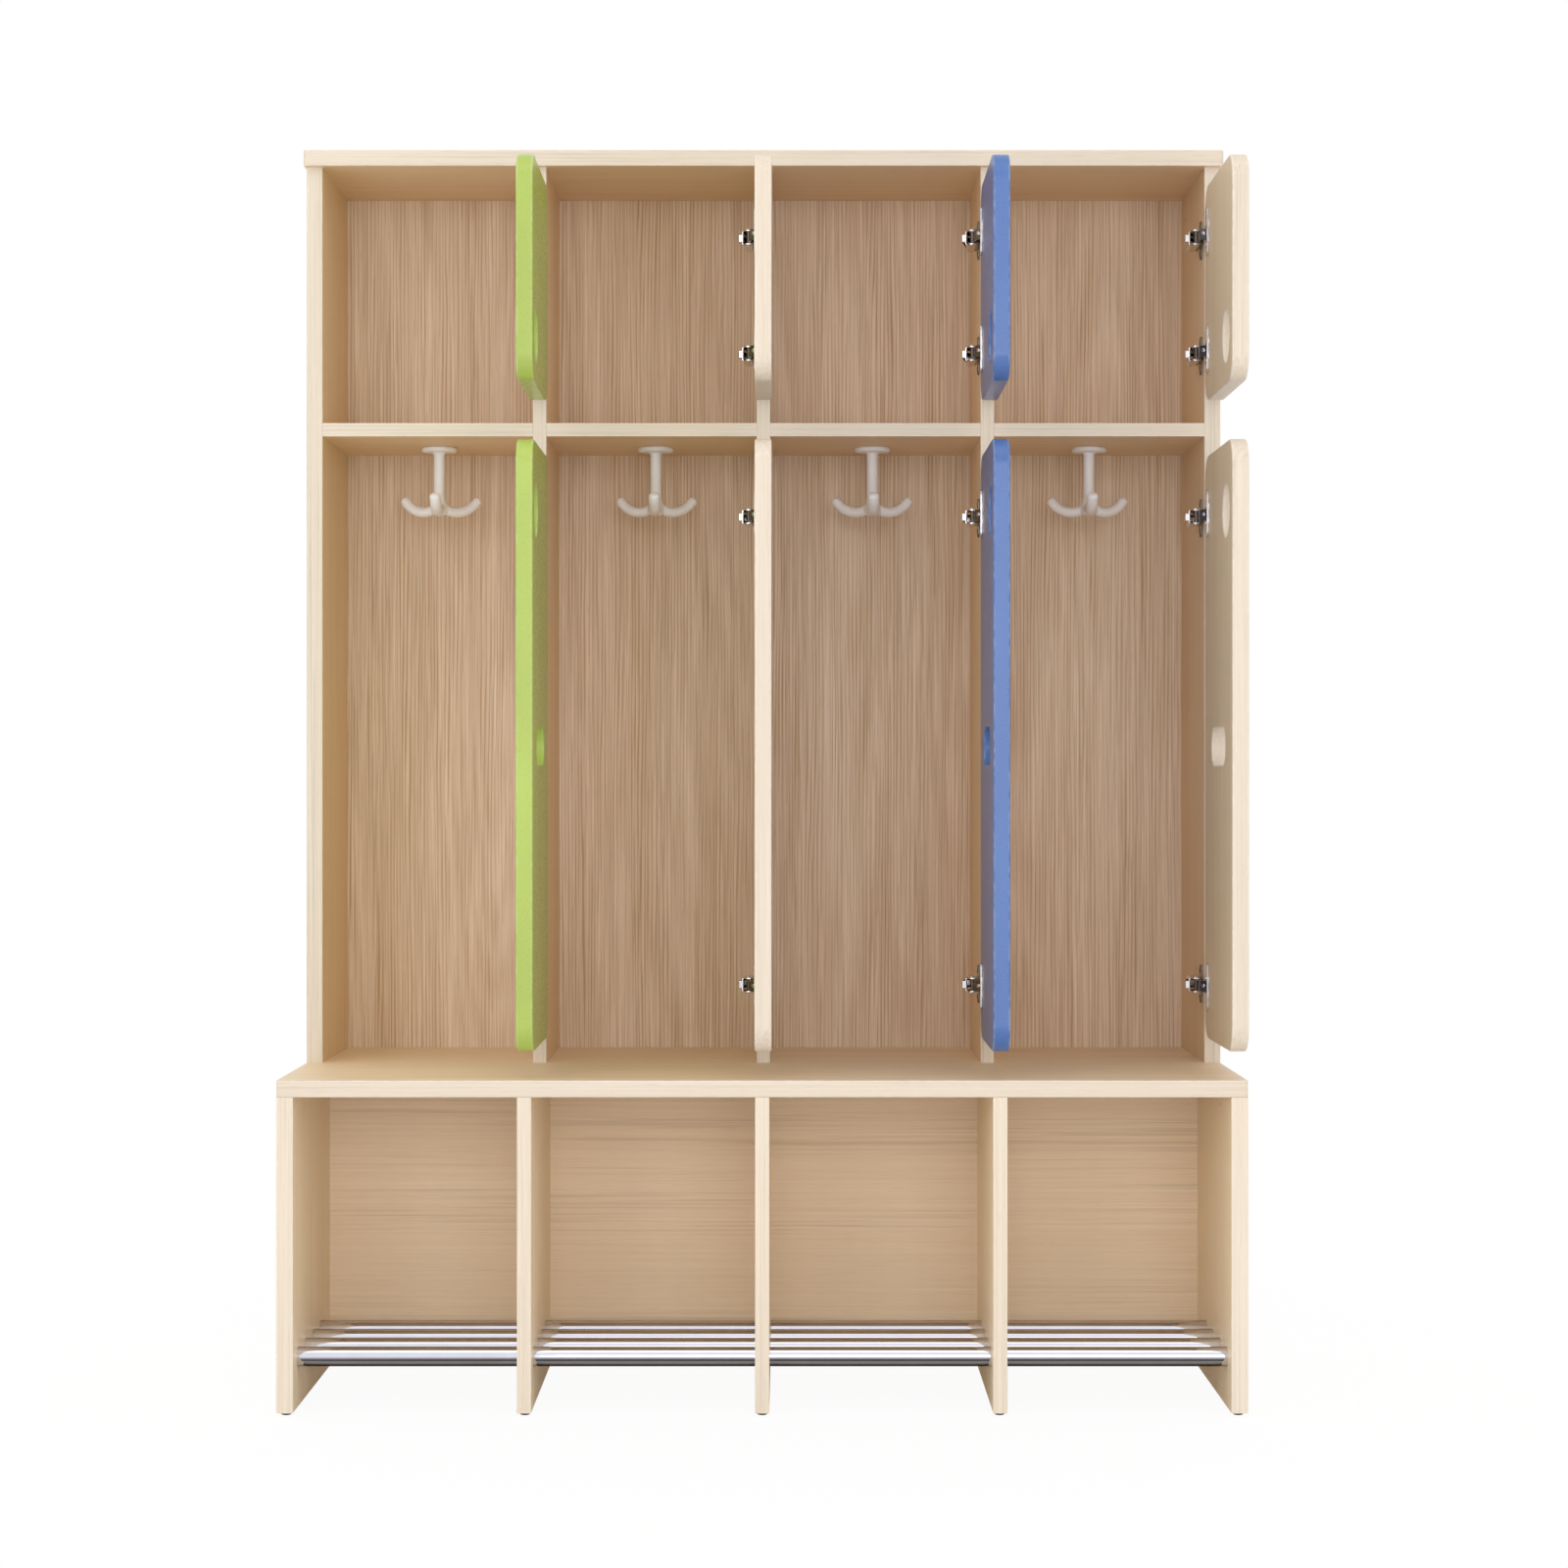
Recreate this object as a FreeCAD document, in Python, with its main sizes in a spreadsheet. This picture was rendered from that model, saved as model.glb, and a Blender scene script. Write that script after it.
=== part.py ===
"""Changing room bench: a four-place cloakroom locker standing on a shoe bench.

+X is to the right, +Y to the back and +Z up. The origin lies on the floor under
the middle of the whole object. Every door is drawn open at a right angle.
"""
import FreeCAD, Part
import math
import os
import re
from types import SimpleNamespace

import Sketcher
from FreeCAD import Placement, Rotation, Vector

PLACES = 4
HOOK_ARMS = 3
HOOK_BENDS = 3
ALONG_X = Vector(1, 0, 0)
ALONG_Y = Vector(0, 1, 0)
UPWARDS = Vector(0, 0, 1)
FULL_TURN = 360
OPEN_ANGLE = 90
FIRST_HOOK_ARM_ANGLE = -90

# Sides of the small round parts that come many times over.
PIN_SIDES = 6
HOOK_SIDES = 8
CUP_SIDES = 8
GLIDE_SIDES = 8
STEM_SIDES = 12

# Driving dimensions in millimetres.
DRIVING_SIZES = {
    # Boards
    "board": 19,
    "thin_board": 16,
    "opening_width": 250,
    # Bench
    "glide_height": 4,
    "leg_height": 353,
    "seat_depth": 478,
    "seat_corner": 4,
    "bench_back_setback": 305,
    "bench_back_height": 309,
    # Upper cupboard
    "upper_depth": 238,
    "lower_opening_height": 744,
    "upper_opening_height": 304,
    "top_side_overhang": 3,
    "top_front_overhang": 9,
    "top_corner": 6,
    "back_thickness": 4,
    "back_inset": 3,
    "groove_depth": 7,
    "groove_clearance": 0.2,
    # Shoe tubes
    "tube_diameter": 22,
    "tube_wall": 1.5,
    "tube_height": 61,
    "tube_spacing": 61.5,
    "first_tube_setback": 40,
    "tube_clearance": 0.1,
    # Floor glides
    "glide_diameter": 12,
    "glide_front_setback": 16,
    "glide_rear_setback": 30,
    # Doors
    "door_width": 242,
    "door_thickness": 19,
    "door_corner": 30,
    "upper_door_lift": 23,
    "upper_door_drop": 27,
    "lower_door_lift": 31,
    "lower_door_drop": 26,
    "door_side_gap": 4,
    "door_front_gap": 1,
    "door_standoff": 9,
    "door_step": 0.5,
    "hole_diameter": 60,
    "hole_inset": 55,
    "upper_hole_lift": 55,
    "lower_hole_drop": 78,
    "slot_length": 122,
    "slot_width": 44,
    # Places of the hinges on the doors
    "upper_hinge_lift": 60,
    "upper_hinge_drop": 56,
    "lower_hinge_lift": 61,
    "lower_hinge_drop": 69,
    # Hinge cups
    "cup_diameter": 35,
    "cup_wall": 1.2,
    "cup_depth": 11.5,
    "cup_setback": 22.5,
    "cup_clearance": 0.1,
    "flange_thickness": 1.2,
    "flange_height": 57,
    "flange_bar": 15,
    "flange_offset": 6,
    "cup_slot_length": 30,
    "cup_slot_play": 0.3,
    # Hinge arms
    "arm_height": 17,
    "arm_metal": 1.3,
    "arm_reach": 17.5,
    "arm_lift": 5,
    "arm_front": 1.2,
    "arm_web_front": 8,
    "arm_rear": 62,
    "arm_rear_reach": 13.5,
    "ridge_height": 9.5,
    "ridge_reach": 22,
    "ridge_front": 10,
    # Hinge links and their pins
    "pin_diameter": 3.2,
    "pin_clearance": 0.05,
    "pin_offset": 9,
    "pin_setback": 4,
    "knuckle_wall": 1.2,
    "link_height": 12,
    "link_metal": 2,
    "link_bend_across": 2.5,
    "link_bend_along": 22,
    "link_tip_across": 12,
    "link_tip_along": 28.5,
    # Mounting plates
    "plate_metal": 2,
    "plate_height": 46,
    "plate_wing": 12,
    "plate_setback": 28,
    "plate_front": 10,
    "plate_rear": 66,
    "plate_ridge_reach": 8,
    "plate_play": 0.5,
    # Coat hooks
    "hook_flange_diameter": 43,
    "hook_flange_thickness": 4.5,
    "hook_setback": 135,
    "hook_stem_diameter": 13,
    "hook_drop": 78,
    "hook_arm_diameter": 12.4,
    "hook_root_rise": 8,
    "hook_low_reach": 25,
    "hook_tip_reach": 49,
    "hook_tip_rise": 13,
    "hook_tip_diameter": 7,
    "hook_tip_length": 3,
    "hook_flare_diameter": 21,
    "hook_flare_height": 20,
}

doc = FreeCAD.newDocument("changing_room_bench")
sheet = doc.addObject("Spreadsheet::Sheet", "Sizes")
for row, (alias, value) in enumerate(DRIVING_SIZES.items(), start=1):
    sheet.set(f"A{row}", alias)
    sheet.set(f"B{row}", str(value))
    sheet.setAlias(f"B{row}", alias)
doc.recompute()
size = SimpleNamespace(**{alias: float(sheet.get(alias)) for alias in DRIVING_SIZES})

pieces = []

# Lengths that boards share, as formulas of the sheet's values.
SPAN = f"{PLACES} * opening_width + {PLACES - 1} * thin_board"
OUTER_WIDTH = f"{SPAN} + 2 * board"
UPRIGHT_HEIGHT = "lower_opening_height + thin_board + upper_opening_height"
INNER_DEPTH = "upper_depth - back_inset - back_thickness"
UPPER_DOOR_HEIGHT = "upper_opening_height - upper_door_lift - upper_door_drop"
LOWER_DOOR_HEIGHT = "lower_opening_height - lower_door_lift - lower_door_drop"

# The same lengths as numbers, for placing.
span = PLACES * size.opening_width + (PLACES - 1) * size.thin_board
half_width = span / 2 + size.board
pitch = size.opening_width + size.thin_board
upper_door_height = size.upper_opening_height - size.upper_door_lift - size.upper_door_drop
lower_door_height = size.lower_opening_height - size.lower_door_lift - size.lower_door_drop

# Levels, from the floor up.
seat_bottom = size.glide_height + size.leg_height
seat_top = seat_bottom + size.board
shelf_bottom = seat_top + size.lower_opening_height
shelf_top = shelf_bottom + size.thin_board
ceiling = shelf_top + size.upper_opening_height

# Depths: the open doors' free edges and the rear lie equally far from the origin.
rear = (size.upper_depth + size.door_standoff + size.door_width) / 2
carcass_front = rear - size.upper_depth
seat_front = rear - size.seat_depth
back_face = rear - size.back_inset - size.back_thickness


def opening_left(place):
    """X of the left side of one of the four places."""
    return -span / 2 + place * pitch


def opening_right(place):
    """X of the right side of one of the four places, where its doors hang."""
    return opening_left(place) + size.opening_width


def bind(thing, **formulas):
    """Bind properties to formulas of the sheet's aliases."""
    for name, formula in formulas.items():
        thing.setExpression(name, re.sub(r"[a-z]\w+", r"Sizes.\g<0>", formula))


def keep(thing, label):
    """Name a finished sub-part and put it on the list of pieces."""
    thing.Label = label
    pieces.append(thing)


def box(label, length, width, height, corner):
    """A box with its lowest corner at the given place."""
    thing = doc.addObject("Part::Box", label)
    bind(thing, Length=length, Width=width, Height=height)
    thing.Placement = Placement(corner, Rotation())
    return thing


def cylinder(label, radius, height, base, direction):
    """A cylinder that starts at base and runs along direction."""
    thing = doc.addObject("Part::Cylinder", label)
    bind(thing, Radius=radius, Height=height)
    thing.Placement = Placement(base, Rotation(UPWARDS, direction))
    return thing


def prism(label, sides, radius, height, base, direction):
    """A many-sided prism that starts at base and runs along direction."""
    thing = doc.addObject("Part::Prism", label)
    thing.Polygon = sides
    bind(thing, Circumradius=radius, Height=height)
    thing.Placement = Placement(base, Rotation(UPWARDS, direction))
    return thing


def cut(label, base, tools):
    """Cut a list of tools out of a base."""
    together = doc.addObject("Part::Compound", f"{label}_tools")
    together.Links = tools
    thing = doc.addObject("Part::Cut", f"{label}_cut")
    thing.Base = base
    thing.Tool = together
    return thing


def origin_plane(body, role):
    """One of a body's own origin planes."""
    return next(feature for feature in body.Origin.OriginFeatures if feature.Role == role)


def new_sketch(body, name, role):
    """A sketch on one of a body's origin planes."""
    sketch = body.newObject("Sketcher::SketchObject", name)
    sketch.AttachmentSupport = [(origin_plane(body, role), "")]
    sketch.MapMode = "FlatFace"
    return sketch


def constrain(sketch, name, formula, *constraint):
    """Add a named constraint to a sketch and bind its value to a formula."""
    number = sketch.addConstraint(Sketcher.Constraint(*constraint))
    sketch.renameConstraint(number, name)
    bind(sketch, **{f"Constraints.{name}": formula})


def rounded_outline(sketch, width, height, corner, formulas):
    """A rectangle left of and above the sketch's origin, with four round corners."""
    inner_left, inner_right = -width + corner, -corner
    inner_top = height - corner
    quarter = math.pi / 2
    lines = [
        ((inner_left, 0), (inner_right, 0)),
        ((0, corner), (0, inner_top)),
        ((inner_right, height), (inner_left, height)),
        ((-width, inner_top), (-width, corner)),
    ]
    centres = [(inner_right, corner), (inner_right, inner_top), (inner_left, inner_top), (inner_left, corner)]
    for start, end in lines:
        sketch.addGeometry(Part.LineSegment(Vector(*start, 0), Vector(*end, 0)))
    for turn, centre in enumerate(centres, start=-1):
        circle = Part.Circle(Vector(*centre, 0), UPWARDS, corner)
        sketch.addGeometry(Part.ArcOfCircle(circle, turn * quarter, (turn + 1) * quarter))
    for side in range(4):
        arc = 4 + side
        sketch.addConstraint(Sketcher.Constraint("Tangent", side, 2, arc, 1))
        sketch.addConstraint(Sketcher.Constraint("Tangent", arc, 2, (side + 1) % 4, 1))
        sketch.addConstraint(Sketcher.Constraint("Vertical" if side % 2 else "Horizontal", side))
    for arc in (5, 6, 7):
        sketch.addConstraint(Sketcher.Constraint("Equal", 4, arc))
    sketch.addConstraint(Sketcher.Constraint("PointOnObject", 0, 1, -1))
    sketch.addConstraint(Sketcher.Constraint("PointOnObject", 1, 1, -2))
    width_formula, height_formula, corner_formula = formulas
    constrain(sketch, "corner", corner_formula, "Radius", 4, corner)
    constrain(sketch, "width", width_formula, "DistanceX", 3, 1, 1, 1, width)
    constrain(sketch, "height", height_formula, "DistanceY", 0, 1, 2, 1, height)


def extruded_plate(label, role, dimensions, formulas, thickness):
    """A body with a rounded outline, padded to a thickness."""
    body = doc.addObject("PartDesign::Body", label)
    sketch = new_sketch(body, f"{label}_outline", role)
    rounded_outline(sketch, *dimensions, formulas)
    pad = body.newObject("PartDesign::Pad", f"{label}_pad")
    pad.Profile = sketch
    bind(pad, Length=thickness)
    return body


def cut_through(body, name, sketch):
    """Cut a sketch on a door's inner face through the whole door."""
    feature = body.newObject("PartDesign::Pocket", name)
    feature.Profile = sketch
    feature.Reversed = True
    feature.Type = "ThroughAll"


# Bench: seat, legs, backs, tubes and glides.


def seat_board():
    """The seat, which runs on under the cupboard."""
    dimensions = (2 * half_width, size.seat_depth, size.seat_corner)
    formulas = (OUTER_WIDTH, "seat_depth", "seat_corner")
    body = extruded_plate("seat_board", "XY_Plane", dimensions, formulas, "board")
    body.Placement = Placement(Vector(half_width, seat_front, seat_bottom), Rotation())
    keep(body, "seat_board")


def tube_axes():
    """Y of each shoe tube's axis."""
    return [
        seat_front + size.first_tube_setback + number * size.tube_spacing
        for number in range(PLACES)
    ]


def glide_places(left_face, thickness):
    """Front and rear places of the glides under one leg."""
    middle = left_face + thickness / 2
    return [
        Vector(middle, seat_front + size.glide_front_setback, 0),
        Vector(middle, rear - size.glide_rear_setback, 0),
    ]


def middle_leg(label, left_face):
    """A leg board between two places, holed for the tubes that run through it."""
    blank = box(f"{label}_blank", "thin_board", "seat_depth", "leg_height",
                Vector(left_face, seat_front, size.glide_height))
    holes = [
        cylinder(f"{label}_tube_hole_{number}", "tube_diameter / 2 + tube_clearance", "thin_board",
                 Vector(left_face, axis_y, size.tube_height), ALONG_X)
        for number, axis_y in enumerate(tube_axes(), start=1)
    ]
    keep(cut(label, blank, holes), label)


def legs():
    """Two end legs, whose inner faces carry the tubes' ends, and three middle legs."""
    for label, left_face in (("end_leg_left", -half_width), ("end_leg_right", span / 2)):
        corner = Vector(left_face, seat_front, size.glide_height)
        keep(box(label, "board", "seat_depth", "leg_height", corner), label)
    for number in range(1, PLACES):
        middle_leg(f"middle_leg_{number}", opening_right(number - 1))


def bench_backs():
    """Four boards that close the shoe bays behind the tubes."""
    for place in range(PLACES):
        corner = Vector(opening_left(place), seat_front + size.bench_back_setback,
                        seat_bottom - size.bench_back_height)
        label = f"bench_back_{place + 1}"
        keep(box(label, "opening_width", "thin_board", "bench_back_height", corner), label)


def shoe_tubes():
    """Four long tubes, each from one end leg to the other."""
    for number, axis_y in enumerate(tube_axes(), start=1):
        label = f"shoe_tube_{number}"
        base = Vector(-span / 2, axis_y, size.tube_height)
        outside = cylinder(f"{label}_outside", "tube_diameter / 2", SPAN, base, ALONG_X)
        bore = cylinder(f"{label}_bore", "tube_diameter / 2 - tube_wall", SPAN, base, ALONG_X)
        keep(cut(label, outside, [bore]), label)


def floor_glides():
    """A nailed plastic glide under the front and the rear of every leg."""
    places = glide_places(-half_width, size.board) + glide_places(span / 2, size.board)
    for number in range(1, PLACES):
        places += glide_places(opening_right(number - 1), size.thin_board)
    glides = doc.addObject("Part::Compound", "floor_glides")
    glides.Links = [
        prism(f"glide_{number}", GLIDE_SIDES, "glide_diameter / 2", "glide_height", place, UPWARDS)
        for number, place in enumerate(places, start=1)
    ]
    keep(glides, "floor_glides")


# Cupboard: sides, dividers, shelves, back and top.


def hinge_levels():
    """Z of each hinge, as (upper door's pair, lower door's pair)."""
    upper_bottom = shelf_top + size.upper_door_lift
    upper_top = upper_bottom + upper_door_height
    lower_bottom = seat_top + size.lower_door_lift
    lower_top = lower_bottom + lower_door_height
    return (
        (upper_bottom + size.upper_hinge_lift, upper_top - size.upper_hinge_drop),
        (lower_bottom + size.lower_hinge_lift, lower_top - size.lower_hinge_drop),
    )


def side_panel(label, left_face, groove_x):
    """An end panel with a groove for the back."""
    blank = box(f"{label}_blank", "board", "upper_depth", UPRIGHT_HEIGHT,
                Vector(left_face, carcass_front, seat_top))
    groove = box(f"{label}_groove", "groove_depth", "back_thickness + groove_clearance",
                 UPRIGHT_HEIGHT, Vector(groove_x, back_face, seat_top))
    keep(cut(label, blank, [groove]), label)


def uprights():
    """End panels and dividers, all standing on the seat."""
    inner = span / 2
    side_panel("side_panel_left", -half_width, -inner - size.groove_depth)
    side_panel("side_panel_right", inner, inner)
    for number in range(1, PLACES):
        label = f"divider_{number}"
        corner = Vector(opening_right(number - 1), carcass_front, seat_top)
        keep(box(label, "thin_board", INNER_DEPTH, UPRIGHT_HEIGHT, corner), label)


def hat_shelves():
    """One shelf across each place, flush with the uprights' front edges."""
    for place in range(PLACES):
        label = f"hat_shelf_{place + 1}"
        corner = Vector(opening_left(place), carcass_front, shelf_bottom)
        keep(box(label, "opening_width", INNER_DEPTH, "thin_board", corner), label)


def locker_back_panel():
    """One thin back for all places, held in grooves at both sides and the top."""
    tongue = size.groove_depth - size.groove_clearance
    corner = Vector(-span / 2 - tongue, back_face, seat_top)
    length = f"{SPAN} + 2 * (groove_depth - groove_clearance)"
    height = f"{UPRIGHT_HEIGHT} + groove_depth - groove_clearance"
    keep(box("locker_back_panel", length, "back_thickness", height, corner), "locker_back_panel")


def top_panel():
    """The top, proud of the cupboard at the sides and the front."""
    width = 2 * (half_width + size.top_side_overhang)
    depth = size.upper_depth + size.top_front_overhang
    dimensions = (width, depth, size.top_corner)
    formulas = (f"{OUTER_WIDTH} + 2 * top_side_overhang", "upper_depth + top_front_overhang", "top_corner")
    body = extruded_plate("top_blank", "XY_Plane", dimensions, formulas, "board")
    body.Placement = Placement(Vector(width / 2, rear - depth, ceiling), Rotation())
    groove_corner = Vector(-span / 2 - size.groove_depth, back_face, ceiling)
    groove = box("top_groove", f"{SPAN} + 2 * groove_depth", "back_thickness + groove_clearance",
                 "groove_depth", groove_corner)
    keep(cut("top_panel", body, [groove]), "top_panel")


# Doors, each with its hinge cups.


def door_place(place, bottom):
    """Placement of an open door: its inner face's lower hinge corner is the local origin."""
    corner = Vector(opening_right(place) - size.door_step, carcass_front - size.door_standoff, bottom)
    return Placement(corner, Rotation(UPWARDS, OPEN_ANGLE))


def round_hole(body, name, across, up, formulas, radius):
    """A sketch of one circle on a door's inner face."""
    sketch = new_sketch(body, name, "XZ_Plane")
    sketch.addGeometry(Part.Circle(Vector(across, up, 0), UPWARDS, radius))
    across_formula, up_formula, radius_formula = formulas
    constrain(sketch, "across", across_formula, "DistanceX", 0, 3, -1, 1, -across)
    constrain(sketch, "up", up_formula, "DistanceY", -1, 1, 0, 3, up)
    constrain(sketch, "radius", radius_formula, "Radius", 0, radius)
    return sketch


def slot_sketch(body, name, across, up, formulas):
    """A sketch of a level slot with round ends on a door's inner face."""
    half = (size.slot_length - size.slot_width) / 2
    radius = size.slot_width / 2
    quarter = math.pi / 2
    sketch = new_sketch(body, name, "XZ_Plane")
    left, right = across - half, across + half
    sketch.addGeometry(Part.LineSegment(Vector(left, up - radius, 0), Vector(right, up - radius, 0)))
    circle = Part.Circle(Vector(right, up, 0), UPWARDS, radius)
    sketch.addGeometry(Part.ArcOfCircle(circle, -quarter, quarter))
    sketch.addGeometry(Part.LineSegment(Vector(right, up + radius, 0), Vector(left, up + radius, 0)))
    circle = Part.Circle(Vector(left, up, 0), UPWARDS, radius)
    sketch.addGeometry(Part.ArcOfCircle(circle, quarter, 3 * quarter))
    for side in range(4):
        sketch.addConstraint(Sketcher.Constraint("Tangent", side, 2, (side + 1) % 4, 1))
    sketch.addConstraint(Sketcher.Constraint("Horizontal", 0))
    across_formula, up_formula = formulas
    constrain(sketch, "radius", "slot_width / 2", "Radius", 1, radius)
    constrain(sketch, "straight", "slot_length - slot_width", "DistanceX", 3, 3, 1, 3, 2 * half)
    constrain(sketch, "across", across_formula, "DistanceX", 1, 3, -1, 1, -right)
    constrain(sketch, "up", up_formula, "DistanceY", -1, 1, 1, 3, up)
    return sketch


def cup_pockets(label, levels):
    """Tools for the two pockets in a door's inner face that take its hinge cups."""
    return [
        prism(f"{label}_cup_pocket_{number}", CUP_SIDES, "cup_diameter / 2 + cup_clearance",
              "cup_depth + cup_clearance", Vector(-size.cup_setback, 0, level), -ALONG_Y)
        for number, level in enumerate(levels, start=1)
    ]


def hinge_cup():
    """A cast cup with its two-screw flange and the slot that the link's tip moves in.

    The local origin is the cup's centre on the door's face.
    """
    lip = size.flange_thickness
    flange = Part.makeBox(size.flange_bar, lip, size.flange_height,
                          Vector(-size.flange_offset - size.flange_bar / 2, 0, -size.flange_height / 2))
    cup = round_bar(Vector(), -ALONG_Y * size.cup_depth, size.cup_diameter / 2, CUP_SIDES)
    slot_depth = size.cup_depth - size.cup_wall
    slot_height = size.link_height + 2 * size.cup_slot_play
    slot_corner = Vector(-size.cup_slot_length / 2, -slot_depth, -slot_height / 2)
    slot = Part.makeBox(size.cup_slot_length, slot_depth + lip, slot_height, slot_corner)
    return cup.fuse(flange).cut(slot).removeSplitter()


def door(label, place, bottom, height, height_formula, hinge_heights, holes):
    """A door with round corners, its holes, its cup pockets and its cups."""
    levels = [level - bottom for level in hinge_heights]
    dimensions = (size.door_width, height, size.door_corner)
    formulas = ("door_width", height_formula, "door_corner")
    body = extruded_plate(f"{label}_board", "XZ_Plane", dimensions, formulas, "door_thickness")
    holes(body, label)
    holed = cut(label, body, cup_pockets(label, levels))
    holed.Placement = door_place(place, bottom)
    keep(holed, label)
    cup = hinge_cup()
    centres = [Vector(-size.cup_setback, 0, level) for level in levels]
    group(f"{label}_cups", [cup.translated(centre) for centre in centres], door_place(place, bottom))


def upper_holes(body, label):
    """One round hole near the free lower corner of an upper door."""
    across = size.hole_inset - size.door_width
    formulas = ("door_width - hole_inset", "upper_hole_lift", "hole_diameter / 2")
    sketch = round_hole(body, f"{label}_hole_circle", across, size.upper_hole_lift, formulas,
                        size.hole_diameter / 2)
    cut_through(body, f"{label}_hole", sketch)


def lower_holes(body, label):
    """One round hole near the free upper corner of a lower door, and a slot in its middle."""
    across = size.hole_inset - size.door_width
    up = lower_door_height - size.lower_hole_drop
    formulas = ("door_width - hole_inset", f"{LOWER_DOOR_HEIGHT} - lower_hole_drop", "hole_diameter / 2")
    sketch = round_hole(body, f"{label}_hole_circle", across, up, formulas, size.hole_diameter / 2)
    cut_through(body, f"{label}_hole", sketch)
    middle = (-size.door_width / 2, lower_door_height / 2)
    formulas = ("door_width / 2 - (slot_length - slot_width) / 2", f"({LOWER_DOOR_HEIGHT}) / 2")
    cut_through(body, f"{label}_slot", slot_sketch(body, f"{label}_slot_outline", *middle, formulas))


def doors():
    """An upper and a lower door for each place."""
    upper_hinges, lower_hinges = hinge_levels()
    for place in range(PLACES):
        door(f"upper_door_{place + 1}", place, shelf_top + size.upper_door_lift, upper_door_height,
             UPPER_DOOR_HEIGHT, upper_hinges, upper_holes)
        door(f"lower_door_{place + 1}", place, seat_top + size.lower_door_lift, lower_door_height,
             LOWER_DOOR_HEIGHT, lower_hinges, lower_holes)


# Small parts that come many times over have flat sides in place of round ones.


def outline_face(corners):
    """A flat face inside a closed outline."""
    return Part.Face(Part.makePolygon(corners + corners[:1]))


def ring(centre, along, radius, sides):
    """The corners of a round section, drawn with flat sides, square to a direction."""
    turn = Rotation(UPWARDS, along)
    spoke = Vector(radius, 0, 0)
    return [
        centre + turn.multVec(Rotation(UPWARDS, number * FULL_TURN / sides).multVec(spoke))
        for number in range(sides)
    ]


def round_bar(base, run, radius, sides):
    """A flat-sided round bar that starts at base and is as long as run."""
    return outline_face(ring(base, run, radius, sides)).extrude(run)


def clear_radius(radius, sides):
    """Radius of a flat-sided hole in which a bar of the given radius can turn."""
    return radius / math.cos(math.pi / sides)


def mitres(path):
    """Directions of a bent path at its points, as long as keeps its sides parallel."""
    runs = [(end - start).normalize() for start, end in zip(path, path[1:])]
    before = runs[:1] + runs
    after = runs + runs[-1:]
    return [(first + second) / (1 + first.dot(second)) for first, second in zip(before, after)]


def slab(points, low, high):
    """A flat outline in X and Y, drawn out between two levels."""
    corners = [Vector(across, along, low) for across, along in points]
    return outline_face(corners).extrude(UPWARDS * (high - low))


def group(label, solids, placement=Placement()):
    """A sub-part made of several equal solids."""
    thing = doc.addObject("Part::Feature", label)
    thing.Shape = Part.makeCompound(solids)
    thing.Placement = placement
    keep(thing, label)


# Hinge pieces on the cupboard. Their local origin is the front corner of the face
# that carries them, level with the middle of the hinge.


def pin_axis():
    """The fixed axis that the links turn about."""
    return Vector(-size.pin_offset, size.pin_setback, 0)


def upright_bar(middle, radius, height):
    """A small round bar that stands with its middle at the hinge's level."""
    return round_bar(middle - UPWARDS * (height / 2), UPWARDS * height, radius, PIN_SIDES)


def hinge_arm():
    """A channel over the plate, with a ridge on its back and the link's pin through its front ears."""
    half = size.arm_height / 2
    inner = -size.arm_lift
    metal = size.arm_metal
    web_front = (-size.arm_reach, size.arm_web_front)
    web_rear = (-size.arm_rear_reach, size.arm_rear)
    ear = [
        web_rear,
        web_front,
        (-size.pin_offset - size.knuckle_wall - size.pin_diameter / 2, size.arm_front),
        (inner, size.arm_front),
        (inner, size.arm_rear),
    ]
    ears = [slab(ear, -half, -half + metal), slab(ear, half - metal, half)]
    web_side = [web_rear, web_front, (web_front[0] + metal, web_front[1]), (web_rear[0] + metal, web_rear[1])]
    web = slab(web_side, -half, half)
    ridge = slab([web_rear, web_front, (-size.ridge_reach, size.ridge_front)],
                 -size.ridge_height / 2, size.ridge_height / 2)
    pin = upright_bar(pin_axis(), size.pin_diameter / 2, size.arm_height)
    return web.fuse(ears + [ridge, pin]).removeSplitter()


def hinge_link():
    """The bent link that reaches from the arm's pin into the door's cup."""
    axis = pin_axis()
    bend = axis + Vector(size.link_bend_across, -size.link_bend_along, 0)
    tip = axis + Vector(size.link_tip_across, -size.link_tip_along, 0)
    half = size.link_height / 2
    path = [axis, bend, tip]
    asides = [Vector(-along.y, along.x, 0) * (size.link_metal / 2) for along in mitres(path)]
    left = [point + aside for point, aside in zip(path, asides)]
    right = [point - aside for point, aside in zip(path, asides)]
    strap = slab([(corner.x, corner.y) for corner in left + right[::-1]], -half, half)
    bore = clear_radius(size.pin_diameter / 2 + size.pin_clearance, PIN_SIDES)
    knuckle = upright_bar(axis, bore + size.knuckle_wall, size.link_height)
    link = strap.fuse(knuckle)
    return link.cut(upright_bar(axis, bore, size.link_height)).removeSplitter()


def mounting_plate():
    """A cross-shaped plate: wings for two screws and a ridge that the arm rides on."""
    wings_corner = Vector(-size.plate_metal, size.plate_setback - size.plate_wing / 2, -size.plate_height / 2)
    wings = Part.makeBox(size.plate_metal, size.plate_wing, size.plate_height, wings_corner)
    ridge_half = size.arm_height / 2 - size.arm_metal - size.plate_play
    ridge = Part.makeBox(size.plate_ridge_reach, size.plate_rear - size.plate_front, 2 * ridge_half,
                         Vector(-size.plate_ridge_reach, size.plate_front, -ridge_half))
    return wings.fuse(ridge).removeSplitter()


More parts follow.
